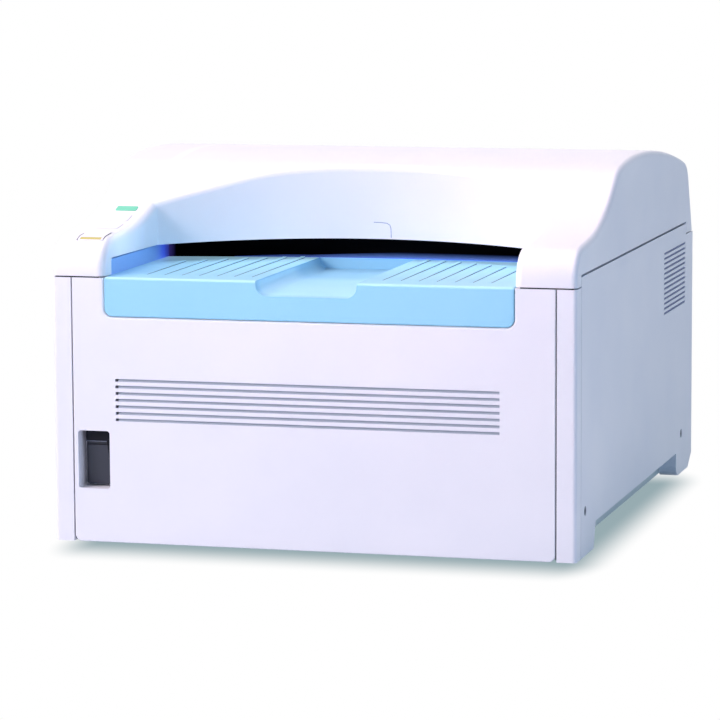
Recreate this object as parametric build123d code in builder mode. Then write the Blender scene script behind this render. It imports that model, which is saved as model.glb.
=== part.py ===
from build123d import *
import os
from math import cos, radians, sin, sqrt, tan

# Computed radiography reader for a desk top. Millimetres, +Z up.
# The origin is the centre of the footprint at table height, and the front faces -Y.
# "Depth" in a name or a call is measured back from the front face.

os.makedirs("parts", exist_ok=True)

# Widths across the front: left shoulder, recess over the tray, right shoulder
left_shoulder = 54.0
recess_half = 207.5
right_shoulder = 61.0
body_width = left_shoulder + 2 * recess_half + right_shoulder
side_x = body_width / 2
path_x = (left_shoulder - right_shoulder) / 2

# Covers: moulded shells with a rim turned inwards all round
wall = 3.0
cover_bottom = 5.0
cover_gap = 1.2
corner_radius = 4.0
post_width = 20.0
post_depth = 21.0
rim_depth = 18.0
seat = 0.3

# Hood: seams against the covers below it
hood_front_z = 270.4
hood_side_z = 281.2
hood_rear_z = 268.5
hood_gap = 1.4
side_gap = 2.3
hood_step_length = 39.0
hood_end_radius = 5.5

# Hood: side outline as straight runs and tangent arcs, slopes in degrees
brow_z = 274.8
brow_radius = 33.0
shoulder_slope = 5.5
shoulder_length = 40.3
rise_radius = 244.0
rise_slope = 36.0
crown_radius = 69.0
crown_slope = 9.0
roof_front_radius = 531.0
roof_rear_radius = 1284.8
roof_slope = 11.8
tail_radius = 32.7
tail_slope = 68.5

# Recess in the hood over the tray, and the arch of the slot under its curved wall
recess_left_depth = 146.0
recess_apex_depth = 208.0
recess_right_depth = 168.0
recess_lean = 7.0
recess_edge_radius = 7.5
slot_room = 2.0
slot_rise = 5.2
slot_corner_radius = 4.0

# Cassette tray
tray_top_z = 270.0
tray_height = 39.0
tray_corner_radius = 8.0
tray_edge_radius = 3.0
tray_face_radius = 1.5
tray_reach = 21.0
tray_left_setback = 29.0
tray_right_setback = 6.0
fence_height = 15.3
fence_end_depth = 204.0
channel_top_half = 51.0
channel_floor_half = 40.0
channel_floor_z = 255.0
channel_slope = 1.0
channel_end_wall = 3.5
rib_count = 7
rib_arc_radius = 249.0
rib_pitch = 18.1
rib_first = 66.6
rib_start_depth = 34.0
rib_width = 3.6
rib_height = 1.3

# Front louvres
front_louvre_count = 7
front_louvre_pitch = 6.58
front_louvre_height = 2.9
front_louvre_top_z = 167.7
front_louvre_inset_left = 64.7
front_louvre_inset_right = 75.5
filter_margin = 4.0
filter_short = 2.4
filter_thickness = 2.0

# Side louvres
side_louvre_count = 13
side_louvre_pitch = 5.36
side_louvre_height = 2.4
side_louvre_top_z = 258.0
side_louvre_inset = 44.0
side_louvre_length = 123.5

# Legs of the side panels and the screws that hold them
arch_z = 31.0
arch_start = 91.0
arch_inset = 92.0
arch_radius = 12.0
arch_lean = 9.0
rear_chamfer_length = 22.0
rear_chamfer_height = 14.0
side_screw_front = 42.0
side_screw_rear = 63.0
side_screw_z = 49.0
screw_well_radius = 5.0
screw_well_wall = 2.0
screw_shank_radius = 1.5
rear_screw_inset = 40.0
rear_screw_low = 30.0
rear_screw_rise = 20.0

# Power switch in its recess
switch_inset = 25.0
switch_width = 33.0
switch_low_z = 58.5
switch_height = 58.0
switch_recess_depth = 24.0
switch_recess_wall = 2.0
switch_margin = 1.6
switch_body_depth = 24.0
switch_bezel = 2.4
switch_body_wall = 1.0
rocker_gap = 0.4
rocker_tilt = 9.0
rocker_thickness = 7.0
rocker_end_gap = 1.4
rocker_pin_radius = 1.5
running_gap = 0.05

# Base pan and feet
foot_radius = 14.0
foot_height = 8.0
foot_inset = 51.0
foot_front = 46.0
foot_rear = 53.0
sheet = 1.5
pan_flange_top = 55.5

# Upright frames beside the cassette path
frame_margin = 2.3
frame_sheet = 2.0
frame_front_depth = 62.0
frame_step_gap = 4.5
frame_rear_gap = 38.0
frame_crown = 4.0

# Black throat behind the tray and its dust flap
throat_floor_z = 252.0
throat_wall = 2.0
throat_start = 118.0
throat_sill_gap = 11.0
throat_sill_thickness = 6.0
throat_roof_gap = 9.0
throat_rear_gap = 6.0
flap_setback = 4.0
flap_pivot_rise = 2.0
flap_pivot_roof = 3.0
flap_drop = 18.0
flap_thickness = 1.6
flap_pin_radius = 1.4
flap_pin_length = 1.4

# Feed rollers, their shafts, pulleys and belt
feed_gap = 39.0
read_gap = 55.0
scan_gap = 42.0
roller_radius = 12.0
shaft_radius = 4.0
cassette_thickness = 15.0
roller_proud = 0.4
nip_gap = 0.3
tyre_count = 5
tyre_length = 24.0
tyre_pitch = 80.0
roll_half = 186.0
bush_radius = 7.0
bush_flange_radius = 9.0
bush_flange = 1.5
pulley_radius = 10.0
pulley_flange_radius = 12.6
pulley_flange = 0.8
belt_width = 8.0
belt_thickness = 1.6
belt_gap = 0.3
pulley_offset = 4.0
motor_size = 42.0
motor_length = 40.0
motor_gap = 25.0
motor_z = 92.0

# Plate path behind the slot, and the reading optics below it
guide_z = 267.6
guide_sheet = 1.5
guide_rear_gap = 45.0
guide_arc_radius = 80.0
guide_drop_z = 60.0
deck_z = 126.0
optics_gap = 18.0
optics_rear_gap = 51.0
optics_half = 130.0
optics_height = 62.0
optics_wall = 3.0
mirror_flat_count = 6
mirror_radius = 22.0
mirror_height = 8.0
mirror_gap = 62.0
lens_gap = 32.0
lens_bulge = 18.0
lens_half = 80.0
detector_radius = 14.0
detector_gap = 24.0
detector_top_z = 206.0
guide_mouth_half = 184.0
guide_throat_half = 12.0
light_guide_thickness = 5.0

# Electronics on the base pan
board_z = 21.0
board_thickness = 1.6
board_inset = 23.3
board_width = 180.0
board_start = 90.0
board_length = 160.0
supply_inset = 16.3
supply_width = 150.0
supply_start = 90.0
supply_length = 160.0
supply_height = 62.0

# Rear cover with fan, mains inlet and data sockets
rear_recess = 3.4
fan_x = -150.0
fan_z = 150.0
fan_size = 80.0
fan_bore = 38.0
fan_thickness = 25.0
fan_hub_radius = 16.0
fan_blade_count = 7
fan_tip_gap = 1.5
grille_rings = 4
grille_wire = 1.2
inlet_x = 150.0
inlet_z = 84.0
inlet_width = 48.0
inlet_height = 27.0
socket_x = 90.0
socket_size = 16.0

# Hinges on the back of the hood
hinge_x = 170.0
hinge_rise = 6.0
knuckle_radius = 3.5
knuckle_length = 12.0
hinge_notch_gap = 1.5
hinge_pin_radius = 1.5
hinge_leaf = 1.6
hinge_leaf_length = 30.0

# Operation keys on the left shoulder
key_offset = 7.0
key_clearance = 0.3
key_proud = 0.5
key_travel = 0.8
key_floor_z = 298.0
key_board_z = 294.0
key_board_margin = 3.0
start_key_front = 17.0
start_key_width = 26.0
start_key_length = 33.0
start_key_gap = 16.5
lower_key_width = 22.0
lower_key_length = 21.0
upper_key_width = 22.0
upper_key_length = 18.0
key_gap = 10.5
lamp_width = 22.0
lamp_length = 9.0
amber_length = 5.0


def hood_profile(inset, bottom_z):
    """Side outline of the hood, with depths for Y, moved inwards by inset and closed at bottom_z."""
    with BuildSketch(Plane.YZ) as outline:
        with BuildLine():
            front = Line((inset, bottom_z), (inset, brow_z))
            brow = JernArc(front @ 1, front % 1, brow_radius - inset, shoulder_slope - 90)
            shoulder = Line(brow @ 1, brow @ 1 + (brow % 1) * shoulder_length)
            rise = JernArc(shoulder @ 1, shoulder % 1, rise_radius + inset, rise_slope - shoulder_slope)
            crown = JernArc(rise @ 1, rise % 1, crown_radius - inset, crown_slope - rise_slope)
            roof = JernArc(crown @ 1, crown % 1, roof_front_radius - inset, -crown_slope)
            roof_rear = JernArc(roof @ 1, roof % 1, roof_rear_radius - inset, -roof_slope)
            tail = JernArc(roof_rear @ 1, roof_rear % 1, tail_radius - inset, roof_slope - tail_slope)
            fall = (tail @ 1).Y - bottom_z
            back = Line(tail @ 1, tail @ 1 + (tail % 1) * (fall / -(tail % 1).Y))
            Line(back @ 1, front @ 0)
        make_face()
    return outline.sketch


# The covers are as deep as the hood is at its rear seam
body_depth = hood_profile(0, hood_rear_z).bounding_box().max.Y
front_y = -body_depth / 2


def at(depth):
    """The y of a place that lies this far behind the front face."""
    return front_y + depth


def block(x_span, depth_span, z_span, mode=Mode.ADD):
    """A box given by its lowest and highest x, depth and z."""
    size = [high - low for low, high in (x_span, depth_span, z_span)]
    with Locations((x_span[0], at(depth_span[0]), z_span[0])):
        return Box(*size, align=(Align.MIN, Align.MIN, Align.MIN), mode=mode)


def rod_x(x_span, depth, z, radius, mode=Mode.ADD):
    """A round bar along X."""
    with Locations(Location((x_span[0], at(depth), z), (0, 90, 0))):
        return Cylinder(radius, x_span[1] - x_span[0], align=(Align.CENTER, Align.CENTER, Align.MIN), mode=mode)


def rod_y(x, depth_span, z, radius, mode=Mode.ADD):
    """A round bar along Y."""
    length = depth_span[1] - depth_span[0]
    with Locations(Location((x, at(depth_span[0]), z), (-90, 0, 0))):
        return Cylinder(radius, length, align=(Align.CENTER, Align.CENTER, Align.MIN), mode=mode)


def rod_z(x, depth, z_span, radius, mode=Mode.ADD):
    """A round bar along Z."""
    with Locations((x, at(depth), z_span[0])):
        return Cylinder(radius, z_span[1] - z_span[0], align=(Align.CENTER, Align.CENTER, Align.MIN), mode=mode)


def upright_plane(depth):
    """A plane that faces the front, with X to the right and Z up in its sketches."""
    return Plane(origin=(0, at(depth), 0), x_dir=(1, 0, 0), z_dir=(0, -1, 0))


def finish(piece, name):
    """Label a finished piece and write it out under its own name."""
    piece.part.label = name
    export_step(piece.part, f"parts/{name}.step")


# Heights that several pieces share
cover_top = hood_front_z - hood_gap
side_top = hood_side_z - side_gap
step_top = hood_rear_z - hood_gap
pan_top = foot_height + sheet
frame_bottom = pan_top + seat
tray_bottom_z = tray_top_z - tray_height
frame_low_top = tray_bottom_z - seat
fence_top_z = tray_top_z + fence_height
roller_z = tray_top_z + roller_proud - roller_radius
pinch_z = tray_top_z + cassette_thickness + roller_radius
scan_pinch_z = roller_z + 2 * roller_radius + nip_gap
slot_top_z = tray_top_z + cassette_thickness + slot_room
flap_pivot_z = slot_top_z + flap_pivot_rise
throat_roof_z = flap_pivot_z + flap_pivot_roof
frame_top_z = pinch_z + bush_radius + frame_crown
switch_high_z = switch_low_z + switch_height
rear_screw_heights = (rear_screw_low, rear_screw_low + rear_screw_rise)
hinge_z = hood_rear_z + hinge_rise

# Places across the width
front_cover_half = side_x - post_width - cover_gap / 2
rim_inner_x = side_x - post_width + cover_gap / 2
pan_half = rim_inner_x - seat
frame_half = recess_half + frame_margin
front_louvre_left = -side_x + front_louvre_inset_left
front_louvre_right = side_x - front_louvre_inset_right
switch_left = -side_x + switch_inset
switch_right = switch_left + switch_width
foot_x = side_x - foot_inset
rear_screw_x = side_x - rear_screw_inset
board_left = path_x - frame_half + board_inset
board_right = board_left + board_width
supply_right = path_x + frame_half - supply_inset
supply_left = supply_right - supply_width
key_x = -side_x + left_shoulder / 2 + key_offset

# Depths from the front back along the cassette's path
pan_front = post_depth + seat
panel_front = post_depth + hood_gap
tray_apex_depth = recess_apex_depth + tray_reach
channel_end_depth = tray_apex_depth - channel_end_wall
frame_step_depth = fence_end_depth + frame_step_gap
throat_sill_depth = tray_apex_depth + throat_sill_gap
throat_roof_start = recess_apex_depth + throat_roof_gap
flap_depth = throat_sill_depth - flap_setback
throat_end = flap_depth + flap_drop + throat_rear_gap
feed_depth = flap_depth + feed_gap
motor_depth = feed_depth + motor_gap
read_depth = feed_depth + read_gap
scan_depth = read_depth + scan_gap
detector_depth = read_depth + detector_gap
optics_front = detector_depth + detector_radius + optics_gap
board_end = board_start + board_length
supply_end = supply_start + supply_length

# Depths that follow the back of the body
rear_cover_depth = body_depth - rear_recess
pan_rear = rear_cover_depth - sheet - seat
hood_step_depth = body_depth - hood_step_length
hinge_depth = body_depth - knuckle_radius
side_louvre_end = body_depth - side_louvre_inset
side_louvre_start = side_louvre_end - side_louvre_length
arch_end = body_depth - arch_inset
side_screw_depths = (side_screw_front, body_depth - side_screw_rear)
foot_depths = (foot_front, body_depth - foot_rear)
frame_rear_depth = body_depth - frame_rear_gap
guide_arc_depth = body_depth - guide_rear_gap - guide_arc_radius
optics_rear = body_depth - optics_rear_gap
mirror_depth = optics_rear - mirror_gap

# Depths of the keys' middles, one behind the other
start_key_depth = start_key_front + start_key_length / 2
lower_key_depth = start_key_depth + start_key_length / 2 + start_key_gap + lower_key_length / 2
upper_key_depth = lower_key_depth + lower_key_length / 2 + key_gap + upper_key_length / 2
lamp_depth = upper_key_depth + upper_key_length / 2 + key_gap + lamp_length / 2


def hood_outline(inset, bottom_z):
    """Side outline of the hood in its place."""
    return hood_profile(inset, bottom_z).moved(Location((0, front_y, 0)))


def recess_outline(grow, z):
    """Plan of the recess over the tray, with its walls moved outwards by grow."""
    mouth = -2 * wall
    mouth_lean = recess_lean * mouth / recess_left_depth
    with BuildSketch(Plane.XY.offset(z)) as plan:
        with BuildLine():
            left = Line(
                (path_x - recess_half + mouth_lean, at(mouth)),
                (path_x - recess_half + recess_lean, at(recess_left_depth)),
            )
            corner = (path_x + recess_half, at(recess_right_depth))
            curve = ThreePointArc(left @ 1, (path_x, at(recess_apex_depth)), corner)
            right = Line(curve @ 1, (path_x + recess_half, at(mouth)))
            Line(right @ 1, left @ 0)
        make_face()
        if grow:
            offset(amount=grow, kind=Kind.INTERSECTION, mode=Mode.REPLACE)
    return plan.sketch


def cheek_x(side, y):
    """The x of the recess's left or right side at this y; the left one leans in towards the back."""
    lean = recess_lean * (y - front_y) / recess_left_depth if side < 0 else 0
    return path_x + side * recess_half + lean


def hood_foot_outline():
    """Side view of what is cut off below the hood: a step up along the sides, lower at the back."""
    below = hood_rear_z - post_depth
    with BuildSketch(Plane.YZ) as foot:
        with BuildLine():
            Polyline(
                (at(post_depth), below),
                (at(post_depth), hood_side_z),
                (at(hood_step_depth), hood_side_z),
                (at(hood_step_depth), below),
                close=True,
            )
        make_face()
    return foot.sketch


def slot_outline(half):
    """Front view of the slot under the curved wall, with its edge bowed up in the middle."""
    below = hood_rear_z - wall
    with BuildSketch(upright_plane(post_depth)) as slot:
        with BuildLine():
            left = Line((path_x - half, below), (path_x - half, slot_top_z))
            bow = ThreePointArc(left @ 1, (path_x, slot_top_z + slot_rise), (path_x + half, slot_top_z))
            right = Line(bow @ 1, (path_x + half, below))
            Line(right @ 1, left @ 0)
        make_face()
    return slot.sketch


def slot_corners(solid):
    """The two short edges where the slot's roof meets the front ends of the recess's sides."""

    def in_corner(edge):
        middle = edge.center()
        beside = abs(abs(middle.X - path_x) - recess_half - wall / 2) < wall
        return beside and abs(middle.Y - at(post_depth)) < 0.1 and abs(middle.Z - slot_top_z) < 0.5

    return solid.edges().filter_by(in_corner).filter_by(lambda edge: edge.bounding_box().size.Z < 0.5)


def end_edges(solid, lowest_z):
    """The edges of the hood's two ends that stand above lowest_z."""
    edges = ShapeList(solid.faces().filter_by(Axis.X)).edges()
    return edges.filter_by(lambda edge: edge.center().Z > lowest_z)


def recess_edges(solid, grow, lowest_z):
    """The edges where the recess, grown by grow, breaks through the front and top of the hood."""

    def on_cheek(edge, side, kink_depth):
        ends = [edge @ 0, edge @ 0.5, edge @ 1]
        beside = all(abs(point.X - cheek_x(side, point.Y) - side * grow) < 0.1 for point in ends)
        ahead = edge.center().Y < at(kink_depth) - wall
        return beside and ahead and edge.bounding_box().size.Z > 0.5 and edge.center().Z > lowest_z

    def on_recess(edge):
        off_path = abs(edge.center().X - path_x)
        within = off_path < recess_half + grow - recess_lean - 0.3
        curved_rim = edge.geom_type == GeomType.BSPLINE and edge.center().Z > brow_z and within
        left = on_cheek(edge, -1, recess_left_depth)
        return curved_rim or left or on_cheek(edge, 1, recess_right_depth)

    return solid.edges().filter_by(on_recess)


key_places = {
    "start_key": ((start_key_width, start_key_length), start_key_depth),
    "lower_key": ((lower_key_width, lower_key_length), lower_key_depth),
    "upper_key": ((upper_key_width, upper_key_length), upper_key_depth),
    "ready_lamp": ((lamp_width, lamp_length), lamp_depth),
}


def key_outline(size, depth, grow, z, radius):
    """Plan of one key, or of its hole when grown by a clearance."""
    with BuildSketch(Plane.XY.offset(z)) as plan:
        with Locations((key_x, at(depth))):
            RectangleRounded(size[0] + 2 * grow, size[1] + 2 * grow, radius + grow)
    return plan.sketch


# Top hood: one moulded shell, open below, hinged at the back
with BuildPart() as hood_core:
    extrude(hood_outline(wall, hood_rear_z - post_depth), amount=side_x - wall, both=True)
    fillet(end_edges(hood_core, hood_rear_z - post_depth + 1), hood_end_radius - wall)
    extrude(recess_outline(wall, hood_rear_z - post_depth), amount=body_depth / 4, mode=Mode.SUBTRACT)
    fillet(recess_edges(hood_core, wall, hood_rear_z - post_depth + 1), recess_edge_radius - wall)

# The hood stays solid under each key hole's rim, so a collar is left around the keys
with BuildPart() as key_wells:
    for key_size, key_depth in key_places.values():
        extrude(key_outline(key_size, key_depth, key_clearance, key_floor_z, 1.5), amount=60)

with BuildPart() as top_hood:
    extrude(hood_outline(0, hood_rear_z), amount=side_x, both=True)
    fillet(end_edges(top_hood, hood_rear_z + 1), hood_end_radius)
    extrude(recess_outline(0, hood_rear_z - wall), amount=body_depth / 4, mode=Mode.SUBTRACT)
    fillet(recess_edges(top_hood, 0, hood_rear_z + 1), recess_edge_radius)
    add(hood_core.part, mode=Mode.SUBTRACT)
    extrude(hood_foot_outline(), amount=body_width, both=True, mode=Mode.SUBTRACT)
    extrude(slot_outline(recess_half + wall + seat), amount=-throat_end, mode=Mode.SUBTRACT)
    fillet(slot_corners(top_hood), slot_corner_radius)
    block((-body_width, body_width), (-wall, post_depth), (hood_rear_z - wall, hood_front_z), mode=Mode.SUBTRACT)
    add(key_wells.part, mode=Mode.SUBTRACT)
    for side in (-1, 1):
        rest_inner = side * (side_x - rim_depth + wall)
        rest_outer = side * (side_x - wall)
        rest_x = (min(rest_inner, rest_outer), max(rest_inner, rest_outer))
        block(rest_x, (56, 66), (hood_side_z, hood_side_z + 12))
        notch_half = 1.5 * knuckle_length + hinge_notch_gap
        block(
            (side * hinge_x - notch_half, side * hinge_x + notch_half),
            (hinge_depth - 2 * knuckle_radius, body_depth + wall),
            (hood_rear_z - wall, hinge_z + knuckle_radius + hinge_notch_gap),
            mode=Mode.SUBTRACT,
        )
finish(top_hood, "top_hood")

# Keys and lamp follow the hood's skin and stand a little proud of it
with BuildPart() as proud_skin:
    extrude(hood_outline(-key_proud, hood_rear_z), amount=side_x, both=True)

for key_name, (key_size, key_depth) in key_places.items():
    with BuildPart() as key:
        extrude(key_outline(key_size, key_depth, 0, key_floor_z, 1.5), amount=60)
        add(proud_skin.part, mode=Mode.INTERSECT)
        if key_name == "start_key":
            amber_half = key_size[0] / 2 - 2
            amber_front = key_depth - key_size[1] / 2 + 1.5
            amber_span = (amber_front, amber_front + amber_length)
            amber_x = (key_x - amber_half, key_x + amber_half)
            amber_z = (key_floor_z + 3, key_floor_z + 20)
            block(amber_x, amber_span, amber_z, mode=Mode.SUBTRACT)
    finish(key, key_name)

# Amber lens let into the front end of the start key
with BuildPart() as start_lens:
    block((amber_x[0] + 0.1, amber_x[1] - 0.1), (amber_span[0] + 0.1, amber_span[1] - 0.1), amber_z)
    add(proud_skin.part, mode=Mode.INTERSECT)
finish(start_lens, "start_lens")

# Circuit board under the keys, held between the hood's outer and inner walls
key_board_left = -side_x + wall + seat
key_board_right = path_x - recess_half - wall - seat
key_board_span = (start_key_front - key_board_margin, lamp_depth + lamp_length / 2 + key_board_margin)
with BuildPart() as key_board:
    block((key_board_left, key_board_right), key_board_span, (key_board_z, key_board_z + board_thickness))
    for key_size, key_depth in key_places.values():
        switch_top = key_floor_z - key_travel - seat
        rod_z(key_x, key_depth, (key_board_z + board_thickness, switch_top), 3)
finish(key_board, "key_board")

# Base pan: folded steel with flanges all round
with BuildPart() as base_pan:
    block((-pan_half, pan_half), (pan_front, pan_rear), (foot_height, pan_flange_top))
    block(
        (-pan_half + sheet, pan_half - sheet),
        (pan_front + sheet, pan_rear - sheet),
        (pan_top, pan_flange_top + 1),
        mode=Mode.SUBTRACT,
    )
    for screw_depth in side_screw_depths:
        rod_x((-body_width, body_width), screw_depth, side_screw_z, screw_shank_radius, mode=Mode.SUBTRACT)
    for side in (-1, 1):
        for screw_z in rear_screw_heights:
            rod_y(side * rear_screw_x, (pan_rear - 5, pan_rear + 1), screw_z, screw_shank_radius, mode=Mode.SUBTRACT)
    for spacer_x in (board_left + 8, board_right - 8):
        for spacer_depth in (board_start + 8, board_end - 8):
            rod_z(spacer_x, spacer_depth, (pan_top - sheet / 2, board_z), 3)
finish(base_pan, "base_pan")

# Four rubber feet under the pan
with BuildPart() as rubber_feet:
    for side in (-1, 1):
        for foot_depth in foot_depths:
            rod_z(side * foot_x, foot_depth, (0, foot_height), foot_radius)
    fillet(rubber_feet.edges().group_by(Axis.Z)[0], 1.5)
finish(rubber_feet, "rubber_feet")


# Front cover: a shallow shell with the tray's opening, the louvres and the switch recess
tray_clearance = 0.6
opening_radius = 2.4


def front_cover_outline(inset):
    """Front view of the cover between the corner posts."""
    half = front_cover_half - inset
    with BuildSketch(upright_plane(0)) as face:
        with Locations((0, (cover_bottom + cover_top) / 2)):
            Rectangle(2 * half, cover_top - cover_bottom - 2 * inset)
        fillet(face.vertices().group_by(Axis.Y)[0], 7 - inset)
    return face.sketch


def tray_opening_outline(grow):
    """Front view of the tray's face, or of its opening when grown by a clearance."""
    half = recess_half - 0.3 + grow
    bottom = tray_bottom_z - grow
    with BuildSketch(upright_plane(0)) as face:
        with Locations((path_x, bottom + body_depth / 2)):
            Rectangle(2 * half, body_depth)
        fillet(face.vertices().group_by(Axis.Y)[0], tray_corner_radius + grow)
    return face.sketch


def opening_edges(solid):
    """The front edges of the tray's opening."""
    reach = recess_half + tray_clearance
    lowest_z = tray_bottom_z - 2 * tray_clearance
    front = solid.edges().filter_by_position(Axis.Y, front_y - 0.01, front_y + 0.01)
    beside = front.filter_by_position(Axis.X, path_x - reach, path_x + reach)
    return beside.filter_by(lambda edge: lowest_z < edge.center().Z < cover_top - 0.5)


with BuildPart() as front_cover:
    extrude(front_cover_outline(0), amount=-post_depth)
    fillet(front_cover.faces().sort_by(Axis.Y)[0].edges().group_by(Axis.Z)[0], 1.2)
    extrude(front_cover_outline(wall).moved(Location((0, wall, 0))), amount=-post_depth, mode=Mode.SUBTRACT)
    extrude(tray_opening_outline(tray_clearance + wall), amount=-post_depth)
    block(
        (-front_cover_half, front_cover_half),
        (-1, post_depth + 1),
        (cover_top, 2 * body_depth),
        mode=Mode.SUBTRACT,
    )
    extrude(tray_opening_outline(tray_clearance), amount=-post_depth, mode=Mode.SUBTRACT)
    fillet(opening_edges(front_cover), opening_radius)
    for row in range(front_louvre_count):
        louvre_z = front_louvre_top_z - row * front_louvre_pitch
        louvre_span = (louvre_z - front_louvre_height / 2, louvre_z + front_louvre_height / 2)
        block((front_louvre_left, front_louvre_right), (-1, wall + 1), louvre_span, mode=Mode.SUBTRACT)
    recess_x = (switch_left - switch_recess_wall, switch_right + switch_recess_wall)
    recess_z = (switch_low_z - switch_recess_wall, switch_high_z + switch_recess_wall)
    block(recess_x, (0, switch_recess_depth + switch_recess_wall), recess_z)
    with BuildSketch(upright_plane(-1)) as recess_mouth:
        with Locations(((switch_left + switch_right) / 2, (switch_low_z + switch_high_z) / 2)):
            RectangleRounded(switch_right - switch_left, switch_high_z - switch_low_z, 3)
    extrude(amount=-switch_recess_depth - 1, mode=Mode.SUBTRACT)
    block(
        (switch_left + switch_margin + switch_bezel, switch_right - switch_margin - switch_bezel),
        (switch_recess_depth - 1, switch_recess_depth + switch_recess_wall + 1),
        (switch_low_z + switch_margin + switch_bezel, switch_high_z - switch_margin - switch_bezel),
        mode=Mode.SUBTRACT,
    )
finish(front_cover, "front_cover")

# Dust filter mat behind the front louvres
louvre_low_z = front_louvre_top_z - (front_louvre_count - 1) * front_louvre_pitch
with BuildPart() as front_filter:
    block(
        (front_louvre_left + filter_short, front_louvre_right + filter_margin),
        (wall + seat, wall + seat + filter_thickness),
        (louvre_low_z - filter_margin, front_louvre_top_z + filter_margin),
    )
finish(front_filter, "front_filter")


# Corner posts: slim shells that wrap round to the sides
def corner_post(side):
    """One corner post; side is -1 for the left and 1 for the right."""
    inner_x = side * (side_x - post_width + cover_gap / 2)
    width = post_width - cover_gap / 2
    centre_x = inner_x + side * width / 2
    centre_y = at(post_depth / 2)
    with BuildPart() as post:
        with BuildSketch(Plane.XY.offset(cover_bottom)) as plan:
            with Locations((centre_x, centre_y)):
                Rectangle(width, post_depth)
            outer = plan.vertices().sort_by_distance((side * side_x, front_y))[0]
            fillet(outer, corner_radius)
        extrude(amount=cover_top - cover_bottom)
        with BuildSketch(Plane.XY.offset(cover_bottom + wall)) as hollow:
            with Locations((centre_x, centre_y + wall)):
                Rectangle(width - 2 * wall, post_depth)
            outer = hollow.vertices().sort_by_distance((side * side_x, front_y))[0]
            fillet(outer, corner_radius - wall)
        extrude(amount=cover_top - cover_bottom - 2 * wall, mode=Mode.SUBTRACT)
    return post


finish(corner_post(-1), "left_corner_post")
finish(corner_post(1), "right_corner_post")


# Side panels: shells with two legs, louvres at the back and screw wells
def side_panel_outline(inset):
    """Side view of the panel, moved inwards by inset."""
    with BuildSketch(Plane.YZ) as outline:
        with BuildLine():
            Polyline(
                (at(panel_front + inset), cover_bottom + inset),
                (at(panel_front + inset), side_top - inset),
                (at(hood_step_depth - hood_gap - inset), side_top - inset),
                (at(hood_step_depth - hood_gap - inset), step_top - inset),
                (at(body_depth - inset), step_top - inset),
                (at(body_depth - inset), cover_bottom + rear_chamfer_height),
                (at(body_depth - rear_chamfer_length), cover_bottom + inset),
                (at(arch_end + inset), cover_bottom + inset),
                (at(arch_end + inset), arch_z + inset),
                (at(arch_start - inset), arch_z + inset),
                (at(arch_start - arch_lean - inset), cover_bottom + inset),
                close=True,
            )
        make_face()
        corner = outline.vertices().sort_by_distance((0, at(arch_start - inset), arch_z + inset))[0]
        fillet(corner, arch_radius + inset)
    return outline.sketch


def side_panel(side):
    """One side panel; side is -1 for the left and 1 for the right."""
    shell = side_x - rim_inner_x
    with BuildPart() as panel:
        extrude(side_panel_outline(0).moved(Location((side * side_x, 0, 0))), amount=-side * shell)
        extrude(
            side_panel_outline(wall).moved(Location((side * (side_x - wall), 0, 0))),
            amount=-side * shell,
            mode=Mode.SUBTRACT,
        )
        for screw_depth in side_screw_depths:
            well_x = sorted((side * rim_inner_x, side * (side_x - wall / 2)))
            rod_x(well_x, screw_depth, side_screw_z, screw_well_radius + screw_well_wall)
            mouth_x = sorted((side * (rim_inner_x + wall), side * (side_x + 1)))
            rod_x(mouth_x, screw_depth, side_screw_z, screw_well_radius, mode=Mode.SUBTRACT)
            bore_x = sorted((side * (rim_inner_x - 1), side * side_x))
            rod_x(bore_x, screw_depth, side_screw_z, screw_shank_radius, mode=Mode.SUBTRACT)
        for row in range(side_louvre_count):
            louvre_z = side_louvre_top_z - row * side_louvre_pitch
            louvre_span = (louvre_z - side_louvre_height / 2, louvre_z + side_louvre_height / 2)
            louvre_x = sorted((side * (side_x - wall - 1), side * (side_x + 1)))
            block(louvre_x, (side_louvre_start, side_louvre_end), louvre_span, mode=Mode.SUBTRACT)
    return panel


finish(side_panel(-1), "left_side_panel")
finish(side_panel(1), "right_side_panel")

# Rubber bumpers on the side panels, under the hood's two rests
with BuildPart() as hood_bumpers:
    for side in (-1, 1):
        rod_z(side * (side_x - rim_depth / 2 - 1), 61, (side_top, hood_side_z - seat), 4)
finish(hood_bumpers, "hood_bumpers")


# Cassette tray: a hollow moulding with fences, ribs and a finger channel
def tray_plan(half, start, apex, z):
    """Plan of the tray from start back to its bowed rear edge, which lies deeper at the right."""
    with BuildSketch(Plane.XY.offset(z)) as plan:
        with BuildLine():
            left = Line((path_x - half, at(start)), (path_x - half, at(apex - tray_left_setback)))
            corner = (path_x + half, at(apex - tray_right_setback))
            curve = ThreePointArc(left @ 1, (path_x, at(apex)), corner)
            right = Line(curve @ 1, (path_x + half, at(start)))
            Line(right @ 1, left @ 0)
        make_face()
    return plan.sketch


def channel_outline(grow):
    """Front view of the finger channel: flat floor and hollow-curved sides."""
    sloped = Plane(
        origin=(path_x, at(-5), channel_floor_z),
        x_dir=(1, 0, 0),
        z_dir=(0, -1, -tan(radians(channel_slope))),
    )
    top = tray_top_z - channel_floor_z + 5
    side_radius = channel_top_half - channel_floor_half
    with BuildSketch(sloped) as section:
        with BuildLine():
            floor = Line((-channel_floor_half, -grow), (channel_floor_half, -grow))
            right = JernArc(floor @ 1, (1, 0), side_radius + grow, 80)
            right_up = Line(right @ 1, ((right @ 1).X + 1, top))
            left = JernArc(floor @ 0, (-1, 0), side_radius + grow, -80)
            left_up = Line(left @ 1, ((left @ 1).X - 1, top))
            Line(left_up @ 1, right_up @ 1)
        make_face()
    return section.sketch


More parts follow.
